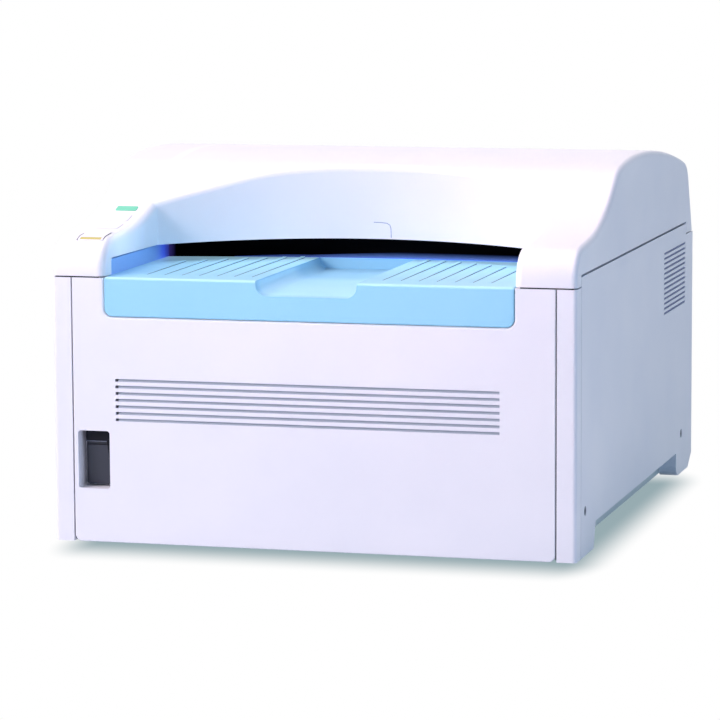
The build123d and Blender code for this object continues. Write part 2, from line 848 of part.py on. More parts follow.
fence_half = recess_half - 0.3 + wall
skirt_z = throat_floor_z + seat
with BuildPart() as cassette_tray:
    extrude(tray_opening_outline(0), amount=-post_depth)
    block(
        (-body_width, body_width),
        (-1, post_depth + 1),
        (tray_top_z, 2 * body_depth),
        mode=Mode.SUBTRACT,
    )
    extrude(tray_plan(fence_half, post_depth + hood_gap, tray_apex_depth, tray_bottom_z), amount=tray_height)
    block(
        (path_x - recess_half + 0.3, path_x + recess_half - 0.3),
        (post_depth - wall, post_depth + 2 * wall),
        (tray_bottom_z, tray_top_z),
    )
    front_top = cassette_tray.edges().filter_by(Axis.X).filter_by(
        lambda edge: edge.center().Z > tray_top_z - 0.1 and edge.center().Y < at(1)
    )
    fillet(front_top, tray_edge_radius)
    face_edges = cassette_tray.faces().filter_by(Axis.Y).sort_by(Axis.Y)[0].edges()
    fillet(face_edges.filter_by(lambda edge: edge.center().Z < tray_top_z - tray_edge_radius - 0.1), tray_face_radius)
    # hollow it from below, then lay the channel's trough back in
    hollow = tray_plan(fence_half - wall, wall, tray_apex_depth - wall, tray_bottom_z - 1)
    extrude(hollow, amount=tray_height + 1 - wall, mode=Mode.SUBTRACT)
    with BuildSketch(upright_plane(wall / 2)) as trough:
        with BuildLine():
            trough_half = channel_top_half + wall + 1
            Polyline(
                (path_x - trough_half, tray_top_z - wall / 2),
                (path_x - trough_half, channel_floor_z - wall),
                (path_x + trough_half, channel_floor_z - wall),
                (path_x + trough_half, tray_top_z - wall / 2),
                close=True,
            )
        make_face()
    extrude(amount=-(tray_apex_depth - wall))
    extrude(channel_outline(0), amount=-(channel_end_depth + 5), mode=Mode.SUBTRACT)
    # the part behind the front apron is only as deep as the throat allows
    block(
        (-body_width, body_width),
        (throat_start - wall, body_depth),
        (tray_bottom_z - 1, skirt_z),
        mode=Mode.SUBTRACT,
    )
    for side in (-1, 1):
        fence_x = sorted((path_x + side * (recess_half - 0.3), path_x + side * fence_half))
        block(fence_x, (post_depth + hood_gap, fence_end_depth), (tray_top_z - 2 * wall, fence_top_z))
        # behind the fences the tray passes between the throat's cheeks
        block(fence_x, (fence_end_depth, body_depth), (tray_bottom_z, fence_top_z), mode=Mode.SUBTRACT)
        for rib in range(rib_count):
            rib_x = path_x + side * (rib_first + rib * rib_pitch)
            reach = sqrt(rib_arc_radius ** 2 - (rib_x - path_x) ** 2)
            rib_end = tray_apex_depth - rib_arc_radius + reach - 1
            with BuildSketch(Plane.YZ.offset(rib_x - rib_width / 2)):
                with BuildLine():
                    Polyline(
                        (at(rib_start_depth), tray_top_z - 1),
                        (at(rib_start_depth), tray_top_z + 0.1),
                        (at(rib_end), tray_top_z + rib_height),
                        (at(rib_end), tray_top_z - 1),
                        close=True,
                    )
                make_face()
            extrude(amount=rib_width)
finish(cassette_tray, "cassette_tray")

# Black throat: floor, sill, cheeks and roof round the slot behind the tray
throat_half = frame_half - seat
with BuildPart() as slot_throat:
    floor_span = (throat_floor_z - throat_wall, throat_floor_z)
    block((path_x - throat_half, path_x + throat_half), (throat_start, throat_sill_depth), floor_span)
    block(
        (path_x - throat_half, path_x + throat_half),
        (throat_sill_depth, throat_sill_depth + throat_sill_thickness),
        (throat_floor_z - throat_wall, tray_top_z - seat),
    )
    for side in (-1, 1):
        cheek_x = sorted((path_x + side * (throat_half - throat_wall), path_x + side * throat_half))
        block(cheek_x, (fence_end_depth + seat, throat_end), (throat_floor_z - throat_wall, throat_roof_z))
    block(
        (path_x - throat_half, path_x + throat_half),
        (throat_roof_start, throat_end),
        (throat_roof_z, throat_roof_z + throat_wall),
    )
    flap_bore_x = (path_x - throat_half - 1, path_x + throat_half + 1)
    rod_x(flap_bore_x, flap_depth, flap_pivot_z, flap_pin_radius + running_gap, mode=Mode.SUBTRACT)
finish(slot_throat, "slot_throat")

# Dust flap that a cassette pushes open
with BuildPart() as slot_flap:
    flap_half = throat_half - throat_wall - seat
    block(
        (path_x - flap_half, path_x + flap_half),
        (flap_depth - flap_thickness / 2, flap_depth + flap_thickness / 2),
        (flap_pivot_z - flap_drop, flap_pivot_z),
    )
    rod_x((path_x - flap_half, path_x + flap_half), flap_depth, flap_pivot_z, flap_pin_radius + 0.5)
    pin_half = flap_half + seat + flap_pin_length
    rod_x((path_x - pin_half, path_x + pin_half), flap_depth, flap_pivot_z, flap_pin_radius)
finish(slot_flap, "slot_flap")


# Upright frames: steel plates that carry the throat, rollers, guides and optics
shaft_seats = (
    (feed_depth, roller_z),
    (feed_depth, pinch_z),
    (scan_depth, roller_z),
    (scan_depth, scan_pinch_z),
)


def upright_frame(side):
    """One frame plate; side is -1 for the left and 1 for the right."""
    with BuildPart() as frame:
        with BuildSketch(Plane.YZ.offset(path_x + side * frame_half)) as outline:
            with BuildLine():
                Polyline(
                    (at(frame_front_depth), frame_bottom),
                    (at(frame_front_depth), frame_low_top),
                    (at(frame_step_depth), frame_low_top),
                    (at(frame_step_depth), frame_top_z),
                    (at(frame_rear_depth), frame_top_z),
                    (at(frame_rear_depth), frame_bottom),
                    close=True,
                )
            make_face()
        extrude(amount=side * frame_sheet)
        bore_x = sorted((path_x + side * (frame_half - 1), path_x + side * (frame_half + frame_sheet + 1)))
        for shaft_depth, shaft_z in shaft_seats:
            rod_x(bore_x, shaft_depth, shaft_z, bush_radius, mode=Mode.SUBTRACT)
        if side > 0:
            rod_x(bore_x, motor_depth, motor_z, shaft_radius + 2, mode=Mode.SUBTRACT)
    return frame


finish(upright_frame(-1), "left_frame")
finish(upright_frame(1), "right_frame")

# Flanged bushes in the frames, one for each end of each shaft
with BuildPart() as shaft_bushes:
    for side in (-1, 1):
        body_x = sorted((path_x + side * frame_half, path_x + side * (frame_half + frame_sheet)))
        flange_x = sorted(
            (path_x + side * (frame_half + frame_sheet), path_x + side * (frame_half + frame_sheet + bush_flange))
        )
        for shaft_depth, shaft_z in shaft_seats:
            rod_x(body_x, shaft_depth, shaft_z, bush_radius)
            rod_x(flange_x, shaft_depth, shaft_z, bush_flange_radius)
            rod_x((-side_x, side_x), shaft_depth, shaft_z, shaft_radius + running_gap, mode=Mode.SUBTRACT)
finish(shaft_bushes, "shaft_bushes")

# Shafts: the driven ones reach out to their pulleys on the right
shaft_end = frame_half + frame_sheet + bush_flange + 1
pulley_left = path_x + frame_half + frame_sheet + pulley_offset
pulley_width = belt_width + 2 * (seat + pulley_flange)
pulley_right = pulley_left + pulley_width


def shaft(depth, z, right_x):
    """A plain steel shaft from beyond the left frame to right_x."""
    with BuildPart() as bar:
        rod_x((path_x - shaft_end, right_x), depth, z, shaft_radius)
    return bar


def tyres(depth, z):
    """A row of rubber tyres on a shaft."""
    with BuildPart() as row:
        for index in range(tyre_count):
            centre = path_x + (index - (tyre_count - 1) / 2) * tyre_pitch
            tyre_x = (centre - tyre_length / 2, centre + tyre_length / 2)
            rod_x(tyre_x, depth, z, roller_radius)
            rod_x(tyre_x, depth, z, shaft_radius, mode=Mode.SUBTRACT)
    return row


def pulley(depth, z):
    """A flanged belt pulley with a bore for its shaft."""
    with BuildPart() as wheel:
        rod_x((pulley_left, pulley_right), depth, z, pulley_radius)
        rod_x((pulley_left, pulley_left + pulley_flange), depth, z, pulley_flange_radius)
        rod_x((pulley_right - pulley_flange, pulley_right), depth, z, pulley_flange_radius)
        rod_x((pulley_left, pulley_right), depth, z, shaft_radius, mode=Mode.SUBTRACT)
    return wheel


finish(shaft(feed_depth, roller_z, pulley_right), "feed_shaft")
finish(tyres(feed_depth, roller_z), "feed_tyres")
finish(pulley(feed_depth, roller_z), "feed_pulley")
finish(shaft(scan_depth, roller_z, pulley_right), "scan_shaft")
finish(pulley(scan_depth, roller_z), "scan_pulley")


def long_roller(depth, z):
    """A full-width rubber roller with a bore for its shaft."""
    with BuildPart() as roll:
        rod_x((path_x - roll_half, path_x + roll_half), depth, z, roller_radius)
        rod_x((path_x - roll_half, path_x + roll_half), depth, z, shaft_radius, mode=Mode.SUBTRACT)
    return roll


finish(long_roller(scan_depth, roller_z), "scan_roller")

# Idle rollers above the driven ones: each is moulded or turned in one piece with its journals
with BuildPart() as feed_pinch_roller:
    add(tyres(feed_depth, pinch_z).part)
    rod_x((path_x - roll_half, path_x + roll_half), feed_depth, pinch_z, roller_radius - 3)
    rod_x((path_x - shaft_end, path_x + shaft_end), feed_depth, pinch_z, shaft_radius)
finish(feed_pinch_roller, "feed_pinch_roller")

with BuildPart() as scan_pinch_roller:
    rod_x((path_x - roll_half, path_x + roll_half), scan_depth, scan_pinch_z, roller_radius)
    rod_x((path_x - shaft_end, path_x + shaft_end), scan_depth, scan_pinch_z, shaft_radius)
finish(scan_pinch_roller, "scan_pinch_roller")

# Drive motor inside the right frame, with its pulley outside
motor_face = path_x + frame_half
with BuildPart() as drive_motor:
    half = motor_size / 2
    block(
        (motor_face - motor_length, motor_face),
        (motor_depth - half, motor_depth + half),
        (motor_z - half, motor_z + half),
    )
    chamfer(drive_motor.edges().filter_by(Axis.X), 4)
    rod_x((motor_face, motor_face + frame_sheet), motor_depth, motor_z, shaft_radius + 2)
    rod_x(
        (motor_face - 1, motor_face + frame_sheet + 1),
        motor_depth,
        motor_z,
        shaft_radius + running_gap,
        mode=Mode.SUBTRACT,
    )
finish(drive_motor, "drive_motor")

with BuildPart() as motor_pulley:
    add(pulley(motor_depth, motor_z).part)
    rod_x((motor_face, pulley_right), motor_depth, motor_z, shaft_radius)
finish(motor_pulley, "motor_pulley")


# Drive belt round the three pulleys
def belt_outline(grow):
    """Side view of the loop round the pulleys, grown outwards."""
    centres = ((at(motor_depth), motor_z), (at(feed_depth), roller_z), (at(scan_depth), roller_z))
    with BuildSketch(Plane.YZ.offset(pulley_left + pulley_flange + seat)) as loop:
        with Locations(*centres):
            Circle(pulley_radius + belt_gap + grow)
        make_hull()
    return loop.sketch


with BuildPart() as drive_belt:
    extrude(belt_outline(belt_thickness), amount=belt_width)
    extrude(belt_outline(0), amount=belt_width, mode=Mode.SUBTRACT)
finish(drive_belt, "drive_belt")

# Plate guides: flat sheets at the slot's level, then a bend down to the back
guide_half = frame_half - seat
guide_top = guide_z + guide_sheet
with BuildPart() as plate_guides:
    block(
        (path_x - guide_half, path_x + guide_half),
        (feed_depth + roller_radius + 4, read_depth - 6),
        (guide_z, guide_top),
    )
    bend_z = guide_top - guide_arc_radius
    with BuildSketch(Plane.YZ.offset(path_x - guide_half)) as section:
        with BuildLine():
            outer_flat = Line((at(scan_depth + roller_radius + 4), guide_top), (at(guide_arc_depth), guide_top))
            outer_bend = JernArc(outer_flat @ 1, (1, 0), guide_arc_radius, -90)
            outer_drop = Line(outer_bend @ 1, ((outer_bend @ 1).X, guide_drop_z))
            edge = Line(outer_drop @ 1, ((outer_drop @ 1).X - guide_sheet, guide_drop_z))
            inner_drop = Line(edge @ 1, ((edge @ 1).X, bend_z))
            inner_bend = JernArc(inner_drop @ 1, (0, 1), guide_arc_radius - guide_sheet, 90)
            inner_flat = Line(inner_bend @ 1, ((outer_flat @ 0).X, guide_z))
            Line(inner_flat @ 1, outer_flat @ 0)
        make_face()
    extrude(amount=2 * guide_half)
finish(plate_guides, "plate_guides")

# Erasing lamp bar just before the reading line
with BuildPart() as erase_lamp:
    lamp_top = guide_z - seat
    block((path_x - guide_half, path_x + guide_half), (read_depth - 30, read_depth - 14), (lamp_top - 14, lamp_top))
    block(
        (path_x - guide_half + 8, path_x + guide_half - 8),
        (read_depth - 26, read_depth - 18),
        (lamp_top - 3, lamp_top + 1),
        mode=Mode.SUBTRACT,
    )
finish(erase_lamp, "erase_lamp")

# Deck plate that carries the optics between the frames
with BuildPart() as optics_deck:
    block(
        (path_x - guide_half, path_x + guide_half),
        (read_depth - 12, optics_rear),
        (deck_z, deck_z + frame_sheet),
    )
finish(optics_deck, "optics_deck")

optics_floor = deck_z + frame_sheet
optics_top = optics_floor + optics_height
beam_z = optics_floor + 26
with BuildPart() as optics_box:
    block(
        (path_x - optics_half, path_x + optics_half),
        (optics_front, optics_rear),
        (optics_floor, optics_top),
    )
    block(
        (path_x - optics_half + optics_wall, path_x + optics_half - optics_wall),
        (optics_front + optics_wall, optics_rear - optics_wall),
        (optics_floor + optics_wall, optics_top + 1),
        mode=Mode.SUBTRACT,
    )
    block(
        (path_x - optics_half + 12, path_x + optics_half - 12),
        (optics_front - 1, optics_front + optics_wall + 1),
        (beam_z - 4, beam_z + 4),
        mode=Mode.SUBTRACT,
    )
finish(optics_box, "optics_box")

with BuildPart() as optics_lid:
    block(
        (path_x - optics_half, path_x + optics_half),
        (optics_front, optics_rear),
        (optics_top, optics_top + 2),
    )
finish(optics_lid, "optics_lid")

inner_floor = optics_floor + optics_wall
with BuildPart() as mirror_motor:
    rod_z(path_x, mirror_depth, (inner_floor, beam_z - mirror_height / 2 - 1), 20)
    rod_z(path_x, mirror_depth, (inner_floor, beam_z + mirror_height / 2 + 3), 2.5)
finish(mirror_motor, "mirror_motor")

with BuildPart() as polygon_mirror:
    with BuildSketch(Plane.XY.offset(beam_z - mirror_height / 2)) as flats:
        with Locations((path_x, at(mirror_depth))):
            RegularPolygon(mirror_radius, mirror_flat_count)
            Circle(2.5 + running_gap, mode=Mode.SUBTRACT)
    extrude(amount=mirror_height)
finish(polygon_mirror, "polygon_mirror")

with BuildPart() as scan_lens:
    with BuildSketch(Plane.XY.offset(inner_floor)) as lens_plan:
        with BuildLine():
            lens_rear = optics_front + lens_gap + lens_bulge
            lens_back = Line((path_x - lens_half, at(lens_rear)), (path_x + lens_half, at(lens_rear)))
            ThreePointArc(lens_back @ 1, (path_x, at(lens_rear - lens_bulge)), lens_back @ 0)
        make_face()
    extrude(amount=beam_z + 8 - inner_floor)
finish(scan_lens, "scan_lens")

with BuildPart() as laser_unit:
    laser_x = path_x + 88
    block((laser_x - 22, laser_x + 22), (mirror_depth - 22, mirror_depth + 30), (inner_floor, beam_z + 12))
    rod_x((laser_x - 34, laser_x - 22), mirror_depth, beam_z, 6)
finish(laser_unit, "laser_unit")

# Folding mirror that turns the beam up to the reading line
with BuildPart() as fold_mirror:
    with BuildSketch(Plane.YZ.offset(path_x - guide_half)) as mirror_section:
        with BuildLine():
            Polyline(
                (at(read_depth - 10), optics_floor),
                (at(read_depth + 8), optics_floor),
                (at(read_depth + 8), beam_z - 6),
                (at(read_depth - 10), beam_z + 12),
                close=True,
            )
        make_face()
    extrude(amount=2 * guide_half)
finish(fold_mirror, "fold_mirror")

# Detector tube on the deck, and the light guide that leads into it
with BuildPart() as detector_tube:
    rod_z(path_x, detector_depth, (optics_floor, detector_top_z), detector_radius)
    rod_z(path_x, detector_depth, (optics_floor, optics_floor + 20), detector_radius + 1.5)
finish(detector_tube, "detector_tube")

with BuildPart() as light_guide:
    guide_low = detector_top_z + seat
    guide_high = guide_z - 2
    with BuildSketch(upright_plane(detector_depth - light_guide_thickness / 2)) as blade:
        with BuildLine():
            Polyline(
                (path_x - guide_throat_half, guide_low),
                (path_x + guide_throat_half, guide_low),
                (path_x + guide_mouth_half, guide_high - 12),
                (path_x + guide_mouth_half, guide_high),
                (path_x - guide_mouth_half, guide_high),
                (path_x - guide_mouth_half, guide_high - 12),
                close=True,
            )
        make_face()
    extrude(amount=-light_guide_thickness)
finish(light_guide, "light_guide")

# Main board on the pan's four pressed-in spacers, with its parts
with BuildPart() as main_board:
    block((board_left, board_right), (board_start, board_end), (board_z, board_z + board_thickness))
finish(main_board, "main_board")

with BuildPart() as board_parts:
    parts_z = board_z + board_thickness
    for chip_x, chip_depth, chip_size, chip_height in (
        (40, 40, 28, 3),
        (90, 110, 20, 3),
        (136, 50, 24, 4),
        (40, 125, 14, 9),
        (155, 125, 12, 12),
    ):
        chip_half = chip_size / 2
        block(
            (board_left + chip_x - chip_half, board_left + chip_x + chip_half),
            (board_start + chip_depth - chip_half, board_start + chip_depth + chip_half),
            (parts_z, parts_z + chip_height),
        )
    for can in range(4):
        rod_z(board_left + 80 + can * 18, board_start + 18, (parts_z, parts_z + 16), 6)
finish(board_parts, "board_parts")

with BuildPart() as power_supply:
    block((supply_left, supply_right), (supply_start, supply_end), (pan_top, pan_top + supply_height))
    vent_count = 8
    for vent in range(vent_count):
        vent_x = supply_left + 20 + vent * 15
        block(
            (vent_x, vent_x + 5),
            (supply_start + 25, supply_end - 25),
            (pan_top + supply_height - 1.5, pan_top + supply_height + 1),
            mode=Mode.SUBTRACT,
        )
finish(power_supply, "power_supply")

# Power switch: bezel and body fixed in the recess, rocker on its own pin
switch_x = (switch_left + switch_right) / 2
switch_z = (switch_low_z + switch_high_z) / 2
bezel_half_x = (switch_right - switch_left) / 2 - switch_margin
bezel_half_z = (switch_high_z - switch_low_z) / 2 - switch_margin
hole_half_x = bezel_half_x - switch_bezel
hole_half_z = bezel_half_z - switch_bezel
cavity_half_x = hole_half_x - switch_body_wall
cavity_half_z = hole_half_z - switch_body_wall
bezel_front = switch_recess_depth - 3
rocker_depth = switch_recess_depth + 1
with BuildPart() as switch_body:
    block(
        (switch_x - bezel_half_x, switch_x + bezel_half_x),
        (bezel_front, switch_recess_depth),
        (switch_z - bezel_half_z, switch_z + bezel_half_z),
    )
    fillet(switch_body.edges().filter_by(Axis.Y), 2)
    block(
        (switch_x - hole_half_x + 0.2, switch_x + hole_half_x - 0.2),
        (switch_recess_depth, switch_recess_depth + switch_body_depth),
        (switch_z - hole_half_z + 0.2, switch_z + hole_half_z - 0.2),
    )
    block(
        (switch_x - cavity_half_x, switch_x + cavity_half_x),
        (bezel_front - 1, switch_recess_depth + switch_body_depth - 8),
        (switch_z - cavity_half_z, switch_z + cavity_half_z),
        mode=Mode.SUBTRACT,
    )
    rod_x(
        (switch_x - hole_half_x, switch_x + hole_half_x),
        rocker_depth,
        switch_z,
        rocker_pin_radius + running_gap,
        mode=Mode.SUBTRACT,
    )
finish(switch_body, "switch_body")

# The rocker leans with its top proud; pressing the top in turns it to the mirrored place
with BuildPart() as switch_rocker:
    rocker_half_x = cavity_half_x - rocker_gap
    rocker_half_z = cavity_half_z - rocker_end_gap
    lean = radians(rocker_tilt)
    rocker_plane = Plane(
        origin=(switch_x - rocker_half_x, at(rocker_depth), switch_z),
        x_dir=(0, cos(lean), sin(lean)),
        z_dir=(1, 0, 0),
    )
    with BuildSketch(rocker_plane) as rocker_side:
        with BuildLine():
            Polyline(
                (-rocker_thickness, -rocker_half_z),
                (-rocker_thickness, rocker_half_z),
                (1, rocker_half_z - 3),
                (3, 4),
                (3, -4),
                (1, 3 - rocker_half_z),
                close=True,
            )
        make_face()
    extrude(amount=2 * rocker_half_x)
    fillet(switch_rocker.faces().sort_by(Axis.Y)[0].edges(), 0.8)
    rocker_pin_half = rocker_half_x + rocker_gap + switch_body_wall - 0.3
    rod_x((switch_x - rocker_pin_half, switch_x + rocker_pin_half), rocker_depth, switch_z, rocker_pin_radius)
finish(switch_rocker, "switch_rocker")

# Rear cover: sheet steel panel set in between the side panels
cover_rear_x = side_x - wall - 6
rear_front = rear_cover_depth - sheet
with BuildPart() as rear_cover:
    block((-pan_half, pan_half), (rear_front, rear_cover_depth), (foot_height + seat, step_top))
    ear_z = (cover_bottom + rear_chamfer_height + wall, step_top - wall - seat)
    block((-cover_rear_x, cover_rear_x), (rear_front, rear_cover_depth), ear_z)
    rod_y(fan_x, (rear_front - 1, rear_cover_depth + 1), fan_z, fan_bore, mode=Mode.SUBTRACT)
    block(
        (inlet_x - inlet_width / 2 + 4, inlet_x + inlet_width / 2 - 4),
        (rear_front - 1, rear_cover_depth + 1),
        (inlet_z - inlet_height / 2 + 2, inlet_z + inlet_height / 2 - 2),
        mode=Mode.SUBTRACT,
    )
    socket_half = socket_size / 2 + 0.2
    block(
        (socket_x - socket_half, socket_x + socket_half),
        (rear_front - 1, rear_cover_depth + 1),
        (inlet_z - socket_half, inlet_z + socket_half),
        mode=Mode.SUBTRACT,
    )
    for side in (-1, 1):
        for screw_z in rear_screw_heights:
            hole_span = (rear_front - 1, rear_cover_depth + 1)
            rod_y(side * rear_screw_x, hole_span, screw_z, screw_shank_radius, mode=Mode.SUBTRACT)
finish(rear_cover, "rear_cover")

# Mains inlet: a flanged socket with three blades inside
with BuildPart() as mains_inlet:
    block(
        (inlet_x - inlet_width / 2, inlet_x + inlet_width / 2),
        (rear_cover_depth, rear_cover_depth + 2),
        (inlet_z - inlet_height / 2, inlet_z + inlet_height / 2),
    )
    block(
        (inlet_x - inlet_width / 2 + 4.2, inlet_x + inlet_width / 2 - 4.2),
        (rear_cover_depth - 24, rear_cover_depth),
        (inlet_z - inlet_height / 2 + 2.2, inlet_z + inlet_height / 2 - 2.2),
    )
    block(
        (inlet_x - 12.5, inlet_x + 12.5),
        (rear_cover_depth - 16, rear_cover_depth + 3),
        (inlet_z - 8, inlet_z + 8),
        mode=Mode.SUBTRACT,
    )
    for blade_x, blade_z in ((-7, -3), (0, 3), (7, -3)):
        block(
            (inlet_x + blade_x - 1, inlet_x + blade_x + 1),
            (rear_cover_depth - 17, rear_cover_depth - 8),
            (inlet_z + blade_z - 2, inlet_z + blade_z + 2),
        )
finish(mains_inlet, "mains_inlet")

# Data socket
with BuildPart() as data_socket:
    block(
        (socket_x - socket_size / 2, socket_x + socket_size / 2),
        (rear_cover_depth - 18, rear_cover_depth + 0.8),
        (inlet_z - socket_size / 2, inlet_z + socket_size / 2),
    )
    block(
        (socket_x - 6, socket_x + 6),
        (rear_cover_depth - 12, rear_cover_depth + 2),
        (inlet_z - 5, inlet_z + 3),
        mode=Mode.SUBTRACT,
    )
    block(
        (socket_x - 3, socket_x + 3),
        (rear_cover_depth - 12, rear_cover_depth + 2),
        (inlet_z + 2, inlet_z + 6),
        mode=Mode.SUBTRACT,
    )
finish(data_socket, "data_socket")

# Cooling fan behind the rear cover
fan_rear = rear_front
fan_front = fan_rear - fan_thickness
with BuildPart() as fan_frame:
    half = fan_size / 2
    block((fan_x - half, fan_x + half), (fan_front, fan_rear), (fan_z - half, fan_z + half))
    fillet(fan_frame.edges().filter_by(Axis.Y), 5)
    rod_y(fan_x, (fan_front - 1, fan_rear + 1), fan_z, fan_bore, mode=Mode.SUBTRACT)
    rod_y(fan_x, (fan_front, fan_front + 3), fan_z, fan_hub_radius)
    for spoke in range(3):
        with Locations(Location((fan_x, at(fan_front + 1.5), fan_z), (0, 90 + spoke * 120, 0))):
            Box(fan_bore + 0.5, 3, 5, align=(Align.MIN, Align.CENTER, Align.CENTER))
    rod_y(fan_x, (fan_front, fan_front + 16), fan_z, 2)
finish(fan_frame, "fan_frame")

with BuildPart() as fan_rotor:
    rotor_span = (fan_front + 4, fan_rear - 3)
    rod_y(fan_x, rotor_span, fan_z, fan_hub_radius)
    blade_length = fan_bore - fan_tip_gap - fan_hub_radius + 2
    for blade in range(fan_blade_count):
        turn = blade * 360 / fan_blade_count
        hub_place = Location((fan_x, at(sum(rotor_span) / 2), fan_z), (0, turn, 0))
        with Locations(hub_place * Location((fan_hub_radius - 2, 0, 0), (38, 0, 0))):
            Box(blade_length, 1.6, 20, align=(Align.MIN, Align.CENTER, Align.CENTER))
    rod_y(fan_x, (fan_front + 3, fan_front + 16.5), fan_z, 2 + running_gap, mode=Mode.SUBTRACT)
finish(fan_rotor, "fan_rotor")

# Wire guard over the fan's opening
with BuildPart() as fan_grille:
    guard_depth = rear_cover_depth + grille_wire
    for ring in range(grille_rings):
        ring_radius = 8 + ring * (fan_bore - 5) / (grille_rings - 1)
        with Locations(Location((fan_x, at(guard_depth), fan_z), (-90, 0, 0))):
            Torus(ring_radius, grille_wire)
    for spoke in range(4):
        with Locations(Location((fan_x, at(guard_depth), fan_z), (0, 45 + spoke * 90, 0))):
            Box(fan_bore + 6, 2, 2, align=(Align.MIN, Align.CENTER, Align.CENTER))
finish(fan_grille, "fan_grille")

# Screws: four in the side wells, four in the rear cover
with BuildPart() as cover_screws:
    for side in (-1, 1):
        for screw_depth in side_screw_depths:
            head_x = sorted((side * (rim_inner_x + wall), side * (rim_inner_x + wall + 2.2)))
            shank_x = sorted((side * (rim_inner_x - 5), side * (rim_inner_x + wall)))
            rod_x(head_x, screw_depth, side_screw_z, screw_well_radius - seat)
            rod_x(shank_x, screw_depth, side_screw_z, screw_shank_radius - running_gap)
        for screw_z in rear_screw_heights:
            rod_y(side * rear_screw_x, (rear_cover_depth, rear_cover_depth + 2), screw_z, 3)
            shank_span = (rear_front - 4, rear_cover_depth)
            rod_y(side * rear_screw_x, shank_span, screw_z, screw_shank_radius - running_gap)
finish(cover_screws, "cover_screws")

# Butt hinges: one leaf on the rear cover, one on the back of the hood, and a pin
hinge_knuckles = ((-1.5, -0.5), (-0.5, 0.5), (0.5, 1.5))
knuckle_gap = 0.25
with BuildPart() as hinge_cover_leaves:
    for side in (-1, 1):
        middle = side * hinge_x
        leaf_x = (middle - 1.5 * knuckle_length, middle + 1.5 * knuckle_length)
        leaf_z = (hinge_z - knuckle_radius - hinge_leaf_length, hinge_z - knuckle_radius - 0.5)
        block(leaf_x, (rear_cover_depth, rear_cover_depth + hinge_leaf), leaf_z)
        for low, high in (hinge_knuckles[0], hinge_knuckles[2]):
            low_x = middle + low * knuckle_length + (knuckle_gap if low > 0 else 0)
            high_x = middle + high * knuckle_length - (knuckle_gap if high < 0 else 0)
            rod_x((low_x, high_x), hinge_depth, hinge_z, knuckle_radius)
            block(
                (low_x, high_x),
                (rear_cover_depth, rear_cover_depth + hinge_leaf),
                (hinge_z - knuckle_radius - 1, hinge_z - 1),
            )
        rod_x(leaf_x, hinge_depth, hinge_z, hinge_pin_radius, mode=Mode.SUBTRACT)
finish(hinge_cover_leaves, "hinge_cover_leaves")

# The hood's leaf lies inside, along the slope of its back
tail_lean = radians(tail_slope)
pin_inside = (body_depth - hinge_depth) * sin(tail_lean) - hinge_rise * cos(tail_lean)
leaf_offset = -(wall + seat - pin_inside) - hinge_leaf / 2
with BuildPart() as hinge_hood_leaves:
    for side in (-1, 1):
        middle = side * hinge_x
        knuckle_x = (middle - 0.5 * knuckle_length + knuckle_gap, middle + 0.5 * knuckle_length - knuckle_gap)
        leaf_place = Location((middle, at(hinge_depth), hinge_z), (90 - tail_slope, 0, 0))
        with Locations(leaf_place * Location((0, leaf_offset, 0))):
            Box(
                3 * knuckle_length,
                hinge_leaf,
                hinge_leaf_length,
                align=(Align.CENTER, Align.CENTER, Align.MIN),
            )
        rod_x(
            (middle - 2 * knuckle_length, middle + 2 * knuckle_length),
            hinge_depth,
            hinge_z,
            knuckle_radius + seat,
            mode=Mode.SUBTRACT,
        )
        rod_x(knuckle_x, hinge_depth, hinge_z, knuckle_radius)
        with Locations(leaf_place * Location((0, leaf_offset, 0))):
            Box(
                knuckle_length - 2 * knuckle_gap,
                hinge_leaf,
                knuckle_radius + 2,
                align=(Align.CENTER, Align.CENTER, Align.MIN),
            )
        rod_x(knuckle_x, hinge_depth, hinge_z, hinge_pin_radius + running_gap, mode=Mode.SUBTRACT)
finish(hinge_hood_leaves, "hinge_hood_leaves")

with BuildPart() as hinge_pins:
    for side in (-1, 1):
        middle = side * hinge_x
        pin_x = (middle - 1.5 * knuckle_length, middle + 1.5 * knuckle_length)
        rod_x(pin_x, hinge_depth, hinge_z, hinge_pin_radius)
finish(hinge_pins, "hinge_pins")
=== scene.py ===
import math

import bmesh
import bpy
from mathutils import Matrix, Vector


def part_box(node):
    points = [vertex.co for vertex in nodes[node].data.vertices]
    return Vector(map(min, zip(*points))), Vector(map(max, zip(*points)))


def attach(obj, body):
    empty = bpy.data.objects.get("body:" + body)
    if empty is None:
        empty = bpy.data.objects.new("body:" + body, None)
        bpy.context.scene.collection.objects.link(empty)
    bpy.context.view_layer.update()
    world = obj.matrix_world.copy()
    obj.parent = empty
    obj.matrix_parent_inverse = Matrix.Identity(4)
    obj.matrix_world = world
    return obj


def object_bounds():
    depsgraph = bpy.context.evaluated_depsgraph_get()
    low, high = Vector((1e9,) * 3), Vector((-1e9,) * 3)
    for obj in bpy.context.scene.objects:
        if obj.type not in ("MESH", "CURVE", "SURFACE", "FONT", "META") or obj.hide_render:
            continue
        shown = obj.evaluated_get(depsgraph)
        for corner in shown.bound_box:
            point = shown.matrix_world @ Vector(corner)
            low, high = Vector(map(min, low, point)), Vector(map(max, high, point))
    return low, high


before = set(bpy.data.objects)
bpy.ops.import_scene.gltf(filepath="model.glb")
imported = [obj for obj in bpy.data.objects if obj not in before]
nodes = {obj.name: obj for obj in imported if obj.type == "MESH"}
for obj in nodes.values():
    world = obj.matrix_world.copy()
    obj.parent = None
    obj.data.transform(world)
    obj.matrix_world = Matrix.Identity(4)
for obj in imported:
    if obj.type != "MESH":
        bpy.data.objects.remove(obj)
cad_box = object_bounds()

